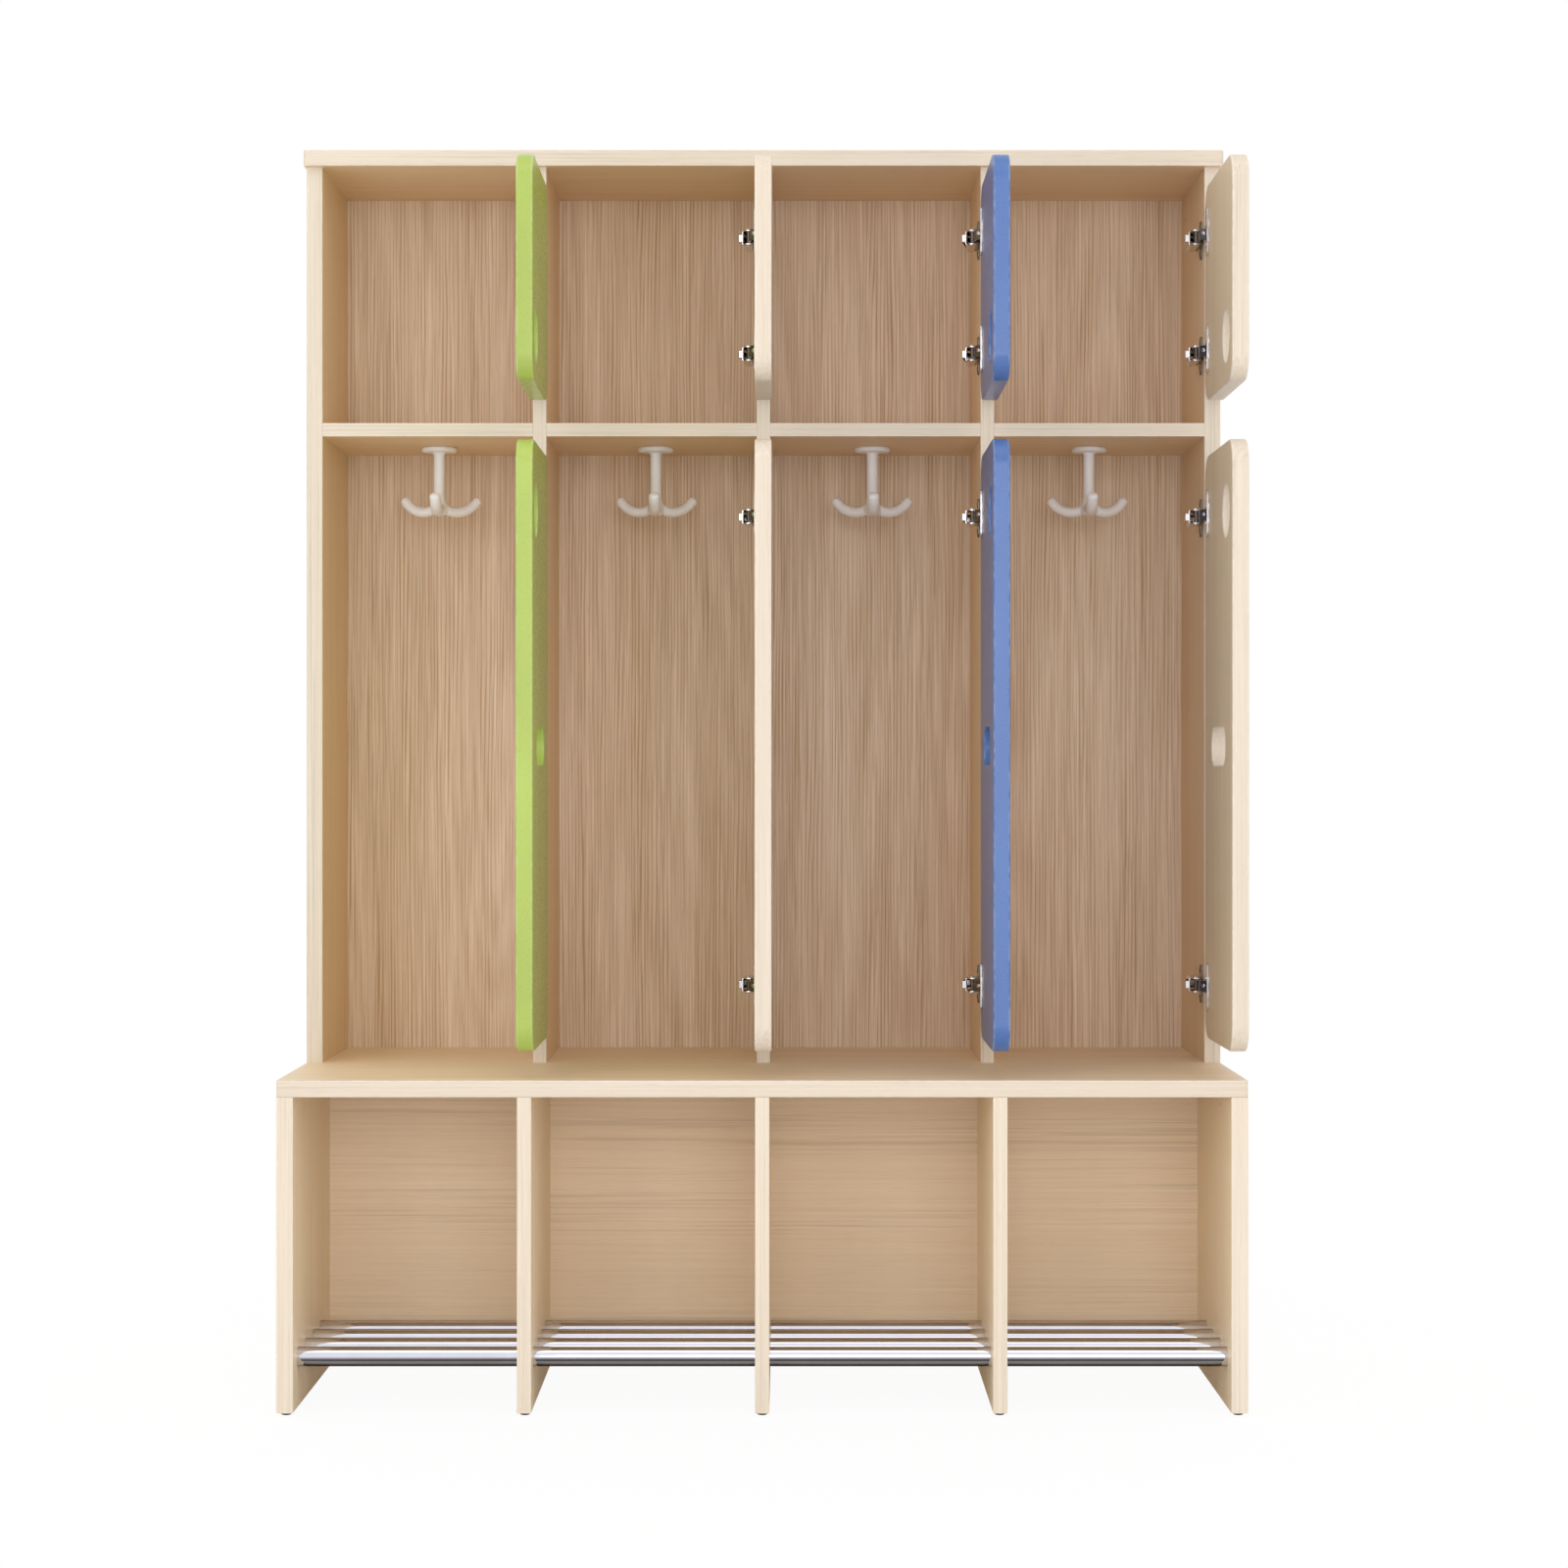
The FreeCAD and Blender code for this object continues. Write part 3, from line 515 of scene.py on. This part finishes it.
def raised(mesh, outline, low, high, ease, steps=2, place=Matrix()):
    """A flat outline raised between two heights, its arrises rounded."""
    made = bmesh.new()
    made.faces.new([made.verts.new((point[0], point[1], low)) for point in outline])
    lifted = bmesh.ops.extrude_face_region(made, geom=made.faces[:])
    for vert in [item for item in lifted["geom"] if isinstance(item, bmesh.types.BMVert)]:
        vert.co.z = high
    bmesh.ops.recalc_face_normals(made, faces=made.faces)
    round_edges(made, [edge for edge in made.edges if is_sharp(edge)], ease, steps)
    for part in made.faces:
        part.material_index = 0
    add_to(mesh, made, place)


def add_to(mesh, made, place):
    """Puts one mesh into another and drops it."""
    made.transform(place)
    if place.determinant() < 0:
        bmesh.ops.reverse_faces(made, faces=made.faces)
    data = bpy.data.meshes.new("part")
    made.to_mesh(data)
    made.free()
    mesh.from_mesh(data)
    bpy.data.meshes.remove(data)


def turned(mesh, profile, sides, place=Matrix()):
    """A closed turned shape from (radius, height) pairs; a radius of zero closes it."""
    made = bmesh.new()
    rings = []
    for radius, height in profile:
        if radius:
            ring = [made.verts.new((point.x, point.y, height)) for point in disc(radius, sides)]
        else:
            ring = [made.verts.new((0, 0, height))] * sides
        rings.append(ring)
    for first, second in zip(rings, rings[1:]):
        for number in range(sides):
            after = (number + 1) % sides
            corners = list(dict.fromkeys([first[number], first[after], second[after], second[number]]))
            if len(corners) > 2:
                made.faces.new(corners)
    bmesh.ops.remove_doubles(made, verts=made.verts, dist=0.001 * MM)
    bmesh.ops.recalc_face_normals(made, faces=made.faces)
    add_to(mesh, made, place)


def cross(arm, width):
    """The outline of a cross recess."""
    half = width / 2
    return [Vector(point) for point in (
        (arm, -half), (arm, half), (half, half), (half, arm), (-half, arm), (-half, half),
        (-arm, half), (-arm, -half), (-half, -half), (-half, -arm), (half, -arm), (half, -half))]


def screw_head(mesh, radius, height, place):
    """A domed screw head with a cross recess, seen from +Z of its place."""
    made = bmesh.new()
    sides = 24
    dome = [(1, 0), (1, 0.25), (0.93, 0.62), (0.80, 0.88), (0.62, 1)]
    loops = [[made.verts.new((point.x, point.y, level * height)) for point in disc(share * radius, sides)]
             for share, level in dome]
    for first, second in zip(loops, loops[1:]):
        for number in range(sides):
            after = (number + 1) % sides
            made.faces.new([first[number], first[after], second[after], second[number]])
    outline = cross(0.5 * radius, 0.2 * radius)
    recess = [made.verts.new((point.x, point.y, height)) for point in outline]
    bottom = [made.verts.new((0.55 * point.x, 0.55 * point.y, 0.35 * height)) for point in outline]
    count = len(recess)
    top = loops[-1]
    rim = [made.edges.get((top[number], top[(number + 1) % sides])) for number in range(sides)]
    lip = [made.edges.new((recess[number], recess[(number + 1) % count])) for number in range(count)]
    bmesh.ops.triangle_fill(made, use_beauty=True, edges=rim + lip)
    for number in range(count):
        after = (number + 1) % count
        made.faces.new([recess[number], recess[after], bottom[after], bottom[number]])
    made.faces.new(bottom)
    made.faces.new(loops[0][::-1])
    bmesh.ops.recalc_face_normals(made, faces=made.faces)
    add_to(mesh, made, place)


def repeated(pattern, places):
    """One mesh made of a pattern in millimetres, put at each place in metres."""
    mesh = bmesh.new()
    data = bpy.data.meshes.new("pattern")
    pattern.to_mesh(data)
    pattern.free()
    for place in places:
        before = len(mesh.verts)
        mesh.from_mesh(data)
        mesh.verts.ensure_lookup_table()
        into_place = Matrix.Translation(place) @ MILLIMETRES
        bmesh.ops.transform(mesh, matrix=into_place, verts=mesh.verts[before:])
    bpy.data.meshes.remove(data)
    return mesh


def at(x, y, z):
    return Matrix.Translation((x, y, z))


# Hinges. Their local origin is the front corner of the face that carries them, level with the
# hinge's middle. X grows towards the board and Y into the cupboard.

# The arm's height and its metal, how far its back stands off the board at the front and the rear,
# where its sides begin, and its ends in Y.
ARM_TALL, ARM_METAL = 17, 1.3
ARM_REACH, ARM_REAR_REACH, ARM_LIFT = 17.5, 13.5, 5
ARM_FRONT, ARM_REAR = 7.6, 62
PIN = Vector((-9, 4))
# The slant of the link's strap past its bend.
STRAP_SLANT = math.radians(34.4)


def arm_pattern():
    """A folded channel: two shaped ears with a pin and rivets, a spine, two screws and a clip."""
    mesh = bmesh.new()
    half = ARM_TALL / 2
    section = rounded([(-ARM_LIFT, -half), (-ARM_REACH, -half), (-ARM_REACH, half), (-ARM_LIFT, half),
                       (-ARM_LIFT, half - ARM_METAL), (-ARM_REACH + ARM_METAL, half - ARM_METAL),
                       (-ARM_REACH + ARM_METAL, -half + ARM_METAL), (-ARM_LIFT, -half + ARM_METAL)],
                      [0, 2.2, 2.2, 0, 0, 0.9, 0.9, 0])
    raised(mesh, section, ARM_FRONT, ARM_REAR, 0.3, place=INTO_CUPBOARD)
    # The back of the channel comes closer to the board towards the rear.
    for vert in mesh.verts:
        if vert.co.x < -ARM_LIFT - ARM_METAL:
            way = (vert.co.y - ARM_FRONT) / (ARM_REAR - ARM_FRONT)
            vert.co.x += (ARM_REACH - ARM_REAR_REACH) * way
    inside = -ARM_REACH + 1.2
    ear = rounded([(inside, 10), (inside, 7.2), (-13.2, 0.6), (-ARM_LIFT, 0.6), (-ARM_LIFT, 10)],
                  [0, 2.4, 3.6, 2.2, 0])
    rivet = [(0, 0), (3.6, 0), (3.6, 0.45), (3.2, 0.7), (2.3, 0.8), (2.1, 1.3), (1.2, 1.65), (0, 1.7)]
    for sign in (-1, 1):
        low, high = sorted((sign * (half - ARM_METAL), sign * half))
        raised(mesh, ear, low, high, 0.3)
        outward = Matrix.Diagonal((1, 1, sign, 1))
        turned(mesh, rivet, 24, at(PIN.x - 1, PIN.y, sign * half) @ outward)
    turned(mesh, [(0, -half), (1.55, -half), (1.55, half), (0, half)], 20, at(PIN.x, PIN.y, 0))
    spine = rounded([(-13, 60), (-14, 60), (-16.8, 38), (-18.4, 25), (-21.6, 21), (-22, 10),
                     (-17, 9), (-15, 10)], [0, 4, 12, 3, 2.4, 1.4, 0.8, 0])
    raised(mesh, spine, -4.3, 4.3, 0.7, 3)
    screw_head(mesh, 2.9, 1.3, at(-17.4, 31, 0) @ AGAINST_SIDE)
    screw_head(mesh, 3.2, 1.4, at(-15.2, 48, 0) @ AGAINST_SIDE)
    clip = rounded([(-12.6, 56), (-12.6, 66), (-11, 68.5), (-9.2, 66), (-9.2, 56)], [0, 2, 0.8, 1, 0])
    raised(mesh, clip, -5, 5, 0.4)
    return mesh


def plate_pattern():
    """A thin cross plate: screwed wings and the rail that the arm clips on."""
    mesh = bmesh.new()
    across = 28
    raised(mesh, oblong(12, 46, 4.6), 0, 1.6, 0.4, place=at(0, across, 0) @ AGAINST_SIDE)
    raised(mesh, oblong(56, 13.4, 2.2), 0, 8, 0.7, place=at(0, 38, 0) @ AGAINST_SIDE)
    for sign in (-1, 1):
        screw_head(mesh, 3.6, 1.2, at(-1.4, across, sign * 16) @ AGAINST_SIDE)
        raised(mesh, oblong(7, 2, 0.8), 1.4, 2.4, 0.3, place=at(0, across, sign * 21) @ AGAINST_SIDE)
    return mesh


def link_pattern():
    """The bent link: its strap, and the knuckle on the arm's pin."""
    mesh = bmesh.new()
    half = 6.7
    path = [PIN, PIN + Vector((2.5, -22)), PIN + Vector((12, -28.5))]
    first = (path[1] - path[0]).normalized()
    second = (path[2] - path[1]).normalized()
    aside, beyond = Vector((-first.y, first.x)), Vector((-second.y, second.x))
    mitre = (aside + beyond) / (1 + aside.dot(beyond))
    left = [path[0] + aside, path[1] + mitre, path[2] + beyond]
    right = [path[0] - aside, path[1] - mitre, path[2] - beyond]
    outline = rounded([tuple(point) for point in left + right[::-1]], [0, 4.5, 0.8, 0.8, 2.6, 0], 6)
    raised(mesh, outline, -half, half, 0.35)
    knuckle = [(1.65, -half), (2.85, -half), (2.95, -half + 0.3), (2.95, half - 0.3), (2.85, half),
               (1.65, half), (1.65, -half)]
    turned(mesh, knuckle, 24, at(PIN.x, PIN.y, 0))
    return mesh


def link_screw_pattern():
    """The small bright screw in the strap, past its bend."""
    mesh = bmesh.new()
    outward = Matrix.Rotation(-STRAP_SLANT, 4, "Z") @ Matrix.Rotation(math.radians(90), 4, "X")
    screw_head(mesh, 2.3, 0.8, at(-4.0, -21.3, 0.6) @ outward)
    return mesh


def cup_pattern():
    """A hinge cup in the open door: dish, low rim, the cheeks beside the slot, and the flange.

    The local origin is the cup's middle on the door's inner face; heights grow away from the door.
    """
    mesh = bmesh.new()
    dish = [(15.4, 0.1), (15.8, 0.35), (16.6, 0.5), (17.8, 0.45), (18.5, 0.25), (18.7, 0), (16.2, -0.3),
            (16.2, -11.3), (0, -11.3), (0, -10.3), (14.6, -10.3), (15.4, -9.5), (15.4, 0.1)]
    turned(mesh, dish, 48, AGAINST_SIDE)
    # Half the slot's height, and the dish's inner radius.
    opening, inner = 7.3, 15.3
    # The flange is open towards the hinge's arm, so that the link can swing in.
    front, bar, back, tall = -13.5, 2.5, 1.5, 28.5
    flange = rounded([(front, -tall), (back, -tall), (back, -opening), (front + bar, -opening),
                      (front + bar, opening), (back, opening), (back, tall), (front, tall)],
                     [6, 6, 0.8, 1.5, 1.5, 0.8, 6, 6])
    raised(mesh, flange, 0, 2.3, 0.5, 3, AGAINST_SIDE)
    edge = math.asin(opening / inner)
    turns = [edge + (math.pi - 2 * edge) * step / 20 for step in range(21)]
    for sign in (-1, 1):
        cheek = [Vector((inner * math.cos(turn), sign * inner * math.sin(turn))) for turn in turns]
        raised(mesh, cheek, -10.4, -0.7, 0.5, place=AGAINST_SIDE)
        screw_head(mesh, 3.7, 0.9, at(-1.7, -6, sign * 21) @ AGAINST_SIDE)
    return mesh


STEEL = "hinge_steel"
hinge_corners = {
    (which, number): [Vector((SIDE[number - 1], FRONT, level)) for level in LEVELS[which]]
    for which in WHICH for number in PLACES
}
every_corner = [corner for pair in hinge_corners.values() for corner in pair]
piece("hinge_arms_dressed", repeated(arm_pattern(), every_corner), [nickel], "carcass", STEEL,
      "hinge_arms")
piece("hinge_plates_dressed", repeated(plate_pattern(), every_corner), [nickel_painted_shade], "carcass", STEEL,
      "hinge_plates")
CUP_FROM_CORNER = Vector((-0.5, -31.5, 0)) * MM
for (which, number), pair in hinge_corners.items():
    leaf, links = f"{which}_door_{number}", f"{which}_links_{number}"
    cup_middles = [corner + CUP_FROM_CORNER for corner in pair]
    piece(f"{links}_dressed", repeated(link_pattern(), pair), [nickel_painted_shade], links, STEEL, links)
    piece(f"{links}_screws", repeated(link_screw_pattern(), pair), [nickel], links, STEEL)
    piece(f"{leaf}_cups_dressed", repeated(cup_pattern(), cup_middles), [nickel], leaf, STEEL,
          f"{leaf}_cups")


# Shoe tubes, glides and caps.


def tube(number):
    """A hollow tube with slightly rounded ends."""
    node = f"shoe_tube_{number}"
    low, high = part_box(node)
    outer, wall, ease = (high.z - low.z) / 2, 1.5 * MM, 0.3 * MM
    length = high.x - low.x
    profile = [(outer - wall, 0), (outer - ease, 0), (outer, ease), (outer, length - ease),
               (outer - ease, length), (outer - wall, length), (outer - wall, 0)]
    mesh = bmesh.new()
    lie = Matrix.Rotation(math.radians(90), 4, "Y")
    turned(mesh, profile, 96, at(low.x, (low.y + high.y) / 2, (low.z + high.z) / 2) @ lie)
    piece(f"{node}_dressed", mesh, [chrome], "carcass", "tube_chrome", node)


for number in PLACES:
    tube(number)

GLIDE_PROFILE = [(0, 4), (4.6, 4), (5.7, 3.6), (6, 2.7), (6, 1.6), (5.6, 0.7), (4.4, 0.1), (0, 0)]
LEG_MIDDLES = (-533.5, -266, 0, 266, 533.5)
GLIDE_ROWS = (-217.5, 214.5)
glide_spots = [Vector((across, deep, 0)) * MM for across in LEG_MIDDLES for deep in GLIDE_ROWS]
glide = bmesh.new()
turned(glide, GLIDE_PROFILE, 28)
piece("floor_glides_dressed", repeated(glide, glide_spots), [glide_black], "carcass", "glide_plastic",
      "floor_glides")

# Caps over the fixings: two under the top on each end panel, one under the seat on each end leg.
CAP_PROFILE = [(0, -0.4), (2.6, -0.4), (2.6, 0.25), (2.2, 0.6), (0, 0.7)]
CAP_SPOTS = [(66, 1407.5), (191, 1407.5), (-144.5, 340.5), (150, 340.5)]
END_FACE = 524
cap_mesh = bmesh.new()
for sign in (-1, 1):
    face_out = Matrix.Rotation(math.radians(-90 * sign), 4, "Y")
    for deep, level in CAP_SPOTS:
        turned(cap_mesh, CAP_PROFILE, 20, at(sign * END_FACE, deep, level) @ face_out)
cap_mesh.transform(MILLIMETRES)
piece("fixing_caps", cap_mesh, [cap_tan], "carcass", "natural_board")


# Coat hooks: one cast form, whose parts melt together.

HOOK_VOXEL = 0.7 * MM
HOOK_SMOOTHING = 9
# The share of its faces that the melted casting keeps.
HOOK_FACES = 0.35
BAR_RADIUS = 6.2
# The arms are a little wider than they are tall.
BAR_WIDTH = 1.13
# How far in from the opening's right side and how deep in the cupboard a hook hangs.
HOOK_ASIDE, HOOK_Y = 125 * MM, 141.5 * MM
SHELF_UNDERSIDE = 1120 * MM


def swept(path, radii):
    """A round bar along a path in X and Z, its two ends closed."""
    made = bmesh.new()
    sides = 20
    rings = []
    for number, (centre, radius) in enumerate(zip(path, radii)):
        before = path[max(number - 1, 0)]
        after = path[min(number + 1, len(path) - 1)]
        run = (after - before).normalized()
        aside = Vector((-run.z, 0, run.x))
        ring = []
        for side in range(sides):
            turn = 2 * math.pi * side / sides
            spoke = aside * math.cos(turn) + Vector((0, BAR_WIDTH, 0)) * math.sin(turn)
            ring.append(made.verts.new(centre + spoke * radius))
        rings.append(ring)
    for first, second in zip(rings, rings[1:]):
        for side in range(sides):
            after = (side + 1) % sides
            made.faces.new([first[side], first[after], second[after], second[side]])
    made.faces.new(rings[0])
    made.faces.new(rings[-1])
    bmesh.ops.recalc_face_normals(made, faces=made.faces)
    return made


def arm_path():
    """The arm's middle line and radii: down and out from the stem's foot, then up to the tip."""
    low, root_rise, low_reach, tip_reach, tip_rise = -78.3, 8, 25, 51, 14.2
    root = Vector((0, low + root_rise))
    lowest = Vector((low_reach, low))
    tip = Vector((tip_reach, low + tip_rise))
    # The circle through the three points.
    first, second = (root + lowest) / 2, (lowest + tip) / 2
    down, up = lowest - root, tip - lowest
    across = Vector((-down.y, down.x))
    centre = first + across * ((second - first).dot(up) / across.dot(up))
    radius = (root - centre).length
    start = math.atan2(root.y - centre.y, root.x - centre.x)
    end = math.atan2(tip.y - centre.y, tip.x - centre.x)
    path, radii = [], []
    bends = 22
    for step in range(bends + 1):
        turn = start + (end - start) * step / bends
        outward, upward = radius * math.cos(turn), radius * math.sin(turn)
        path.append(Vector((centre.x + outward, 0, centre.y + upward)))
        radii.append(BAR_RADIUS)
    run = (path[-1] - path[-2]).normalized()
    for reach, share in ((1.4, 0.96), (2.6, 0.84), (3.5, 0.66), (4.1, 0.42), (4.35, 0.12)):
        path.append(path[bends] + run * reach)
        radii.append(BAR_RADIUS * share)
    return path, radii


def cast_hook():
    """Flange, stem and three arms as one smooth casting, in millimetres from the flange's top."""
    mesh = bmesh.new()
    stem = [(0, 0), (21, 0), (21.8, -0.7), (21.8, -3.8), (21, -5.3), (19, -5.8), (8.8, -6), (7.4, -6.8),
            (6.9, -8), (6.9, -56), (7.2, -61), (8, -67), (9.6, -73), (10.2, -77), (9.4, -80.5),
            (6, -83.2), (0, -84)]
    turned(mesh, stem, 40)
    path, radii = arm_path()
    for number in range(3):
        turn = Matrix.Rotation(math.radians(-90 + 120 * number), 4, "Z")
        add_to(mesh, swept(path, radii), turn)
    mesh.transform(MILLIMETRES)
    data = bpy.data.meshes.new("hook_parts")
    mesh.to_mesh(data)
    mesh.free()
    rough = bpy.data.objects.new("hook_parts", data)
    bpy.context.scene.collection.objects.link(rough)
    skin = rough.modifiers.new("skin", "REMESH")
    skin.mode = "VOXEL"
    skin.voxel_size = HOOK_VOXEL
    melt = rough.modifiers.new("melt", "SMOOTH")
    melt.factor = 0.5
    melt.iterations = HOOK_SMOOTHING
    fewer = rough.modifiers.new("fewer", "DECIMATE")
    fewer.ratio = HOOK_FACES
    finished = rough.evaluated_get(bpy.context.evaluated_depsgraph_get())
    shape = bpy.data.meshes.new_from_object(finished)
    bpy.data.objects.remove(rough)
    shape.materials.clear()
    shape.materials.append(hook_white)
    for part in shape.polygons:
        part.use_smooth = True
    return shape


hook_shape = cast_hook()
for number in PLACES:
    node = f"coat_hook_{number}"
    low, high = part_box(node)
    hook = bpy.data.objects.new(f"{node}_dressed", hook_shape)
    bpy.context.scene.collection.objects.link(hook)
    hook.location = Vector(((low.x + high.x) / 2, HOOK_Y, high.z))
    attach(hook, "carcass")
    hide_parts(node)


def flange_screws():
    """Three countersunk screws in the underside of a hook's flange, between its arms."""
    mesh = bmesh.new()
    over = Matrix.Rotation(math.radians(180), 4, "X")
    for number in range(3):
        turn = Matrix.Rotation(math.radians(-30 + 120 * number), 4, "Z")
        screw_head(mesh, 2.7, 0.9, turn @ at(14, 0, -4.9) @ over)
    return mesh


hook_tops = [Vector((opening - HOOK_ASIDE, HOOK_Y, SHELF_UNDERSIDE)) for opening in SIDE]
piece("coat_hook_screws", repeated(flange_screws(), hook_tops), [nickel], "carcass", STEEL)


# Studio.


def lamp(name, spot, aim, width, height, power):
    """A large soft lamp."""
    data = bpy.data.lights.new(name, "AREA")
    data.shape = "RECTANGLE"
    data.size, data.size_y, data.energy = width, height, power
    thing = bpy.data.objects.new(name, data)
    thing.location = spot
    thing.rotation_euler = (Vector(aim) - Vector(spot)).to_track_quat("-Z", "Y").to_euler()
    bpy.context.scene.collection.objects.link(thing)


lamp("front_lamp", (0.5, -5.0, 1.15), (0, 0, 0.75), 2.2, 1.8, 36)
lamp("fill_lamp", (-2.4, -4.2, 1.6), (0, 0, 0.7), 2.0, 2.0, 19)
lamp("top_lamp", (0, -1.4, 3.2), (0, -0.2, 0.4), 2.6, 1.6, 8)


def seen_white(tree):
    """1 for a camera, mirror or glass ray, which see the white background, and 0 for light."""
    path = tree.nodes.new("ShaderNodeLightPath")
    total = path.outputs["Is Camera Ray"]
    for name in ("Is Glossy Ray", "Is Transmission Ray"):
        either = tree.nodes.new("ShaderNodeMath")
        either.operation = "MAXIMUM"
        tree.links.new(total, either.inputs[0])
        tree.links.new(path.outputs[name], either.inputs[1])
        total = either.outputs[0]
    return total


world = bpy.data.worlds.new("studio")
bpy.context.scene.world = world
world.use_nodes = True
background = world.node_tree.nodes["Background"]
background.inputs["Color"].default_value = (1, 1, 1, 1)
background.inputs["Strength"].default_value = 1.0

# The floor is pale, keeps the bench's shadow near it and runs out into the white background.
FLOOR_REACH = 14
FLOOR_TONE = (0.92, 0.92, 0.92)
# Near the bench the camera sees this share of plain white, and in the rest the shadow. Between
# the two distances from the bench's middle the share grows to one.
SEEN_FLOOR = 0.94
WHITE_FROM, WHITE_TO = 0.8, 1.6
# Painted reflection: mirrors alone see the floor under the bench and just before it painted dark, as shade.
# These are its tones by distance in Y from the bench's middle.
MIRROR_PAINTED_SHADE = [(0.00, (0.12, 0.09, 0.06)), (0.19, (0.12, 0.09, 0.06)), (0.215, (0.36, 0.35, 0.32)),
         (0.25, (0.36, 0.35, 0.32)), (0.265, (0.08, 0.08, 0.085)), (0.30, (0.08, 0.08, 0.085)),
         (0.33, (0.20, 0.19, 0.195)), (0.37, (0.42, 0.39, 0.41)), (0.90, (0.50, 0.47, 0.49))]
floor_mesh = bmesh.new()
bmesh.ops.create_grid(floor_mesh, x_segments=1, y_segments=1, size=FLOOR_REACH)
floor_data = bpy.data.meshes.new("floor")
floor_mesh.to_mesh(floor_data)
floor_mesh.free()
floor = bpy.data.objects.new("floor", floor_data)
bpy.context.scene.collection.objects.link(floor)
paper = bpy.data.materials.new("floor_paper")
paper.use_nodes = True
tree = paper.node_tree
tree.nodes.clear()
diffuse = tree.nodes.new("ShaderNodeBsdfDiffuse")
shade = tree.nodes.new("ShaderNodeMix")
shade.data_type = "RGBA"
shade.inputs[MIX_FIRST].default_value = (*FLOOR_TONE, 1)
across = tree.nodes.new("ShaderNodeSeparateXYZ")
depth = tree.nodes.new("ShaderNodeMath")
depth.operation = "ABSOLUTE"
# Painted reflection: the dark floor tones that only mirror rays see, standing in for shade under and before
# the bench.
mirror_painted_shade = tree.nodes.new("ShaderNodeValToRGB")
while len(mirror_painted_shade.color_ramp.elements) < len(MIRROR_PAINTED_SHADE):
    mirror_painted_shade.color_ramp.elements.new(1)
for stop, (place, tone) in zip(mirror_painted_shade.color_ramp.elements, MIRROR_PAINTED_SHADE):
    stop.position = place
    stop.color = (*tone, 1)
glow = tree.nodes.new("ShaderNodeEmission")
blend = tree.nodes.new("ShaderNodeMixShader")
output = tree.nodes.new("ShaderNodeOutputMaterial")
coordinates = tree.nodes.new("ShaderNodeTexCoord")
distance = tree.nodes.new("ShaderNodeVectorMath")
distance.operation = "LENGTH"
reach = tree.nodes.new("ShaderNodeMapRange")
reach.interpolation_type = "SMOOTHSTEP"
reach.inputs["From Min"].default_value = WHITE_FROM
reach.inputs["From Max"].default_value = WHITE_TO
reach.inputs["To Max"].default_value = 1.0
ray = tree.nodes.new("ShaderNodeLightPath")
least = tree.nodes.new("ShaderNodeMath")
least.operation = "MULTIPLY"
least.inputs[1].default_value = SEEN_FLOOR
share = tree.nodes.new("ShaderNodeMath")
share.operation = "MULTIPLY"
for source, socket in (
    (coordinates.outputs["Object"], across.inputs[0]),
    (across.outputs["Y"], depth.inputs[0]),
    (depth.outputs[0], mirror_painted_shade.inputs[0]),
    (mirror_painted_shade.outputs[0], shade.inputs[MIX_SECOND]),
    (ray.outputs["Is Glossy Ray"], shade.inputs[MIX_SHARE]),
    (shade.outputs[MIX_RESULT], diffuse.inputs["Color"]),
    (coordinates.outputs["Object"], distance.inputs[0]),
    (distance.outputs["Value"], reach.inputs["Value"]),
    (ray.outputs["Is Camera Ray"], least.inputs[0]),
    (least.outputs[0], reach.inputs["To Min"]),
    (reach.outputs[0], share.inputs[0]),
    (seen_white(tree), share.inputs[1]),
    (share.outputs[0], blend.inputs["Fac"]),
    (diffuse.outputs[0], blend.inputs[1]),
    (glow.outputs[0], blend.inputs[2]),
    (blend.outputs[0], output.inputs["Surface"]),
):
    tree.links.new(source, socket)
floor_data.materials.append(paper)

# The camera looks level and straight on, as the photograph's does.
LENS, SENSOR = 76.9, 36
STANDPOINT = (0.0244, -3.9735, 0.707)
camera_data = bpy.data.cameras.new("camera")
camera_data.lens = LENS
camera_data.sensor_width = SENSOR
camera = bpy.data.objects.new("camera", camera_data)
camera.location = STANDPOINT
camera.rotation_euler = (math.radians(90), 0, 0)
bpy.context.scene.collection.objects.link(camera)
bpy.context.scene.camera = camera
bpy.context.scene.view_settings.view_transform = "Standard"
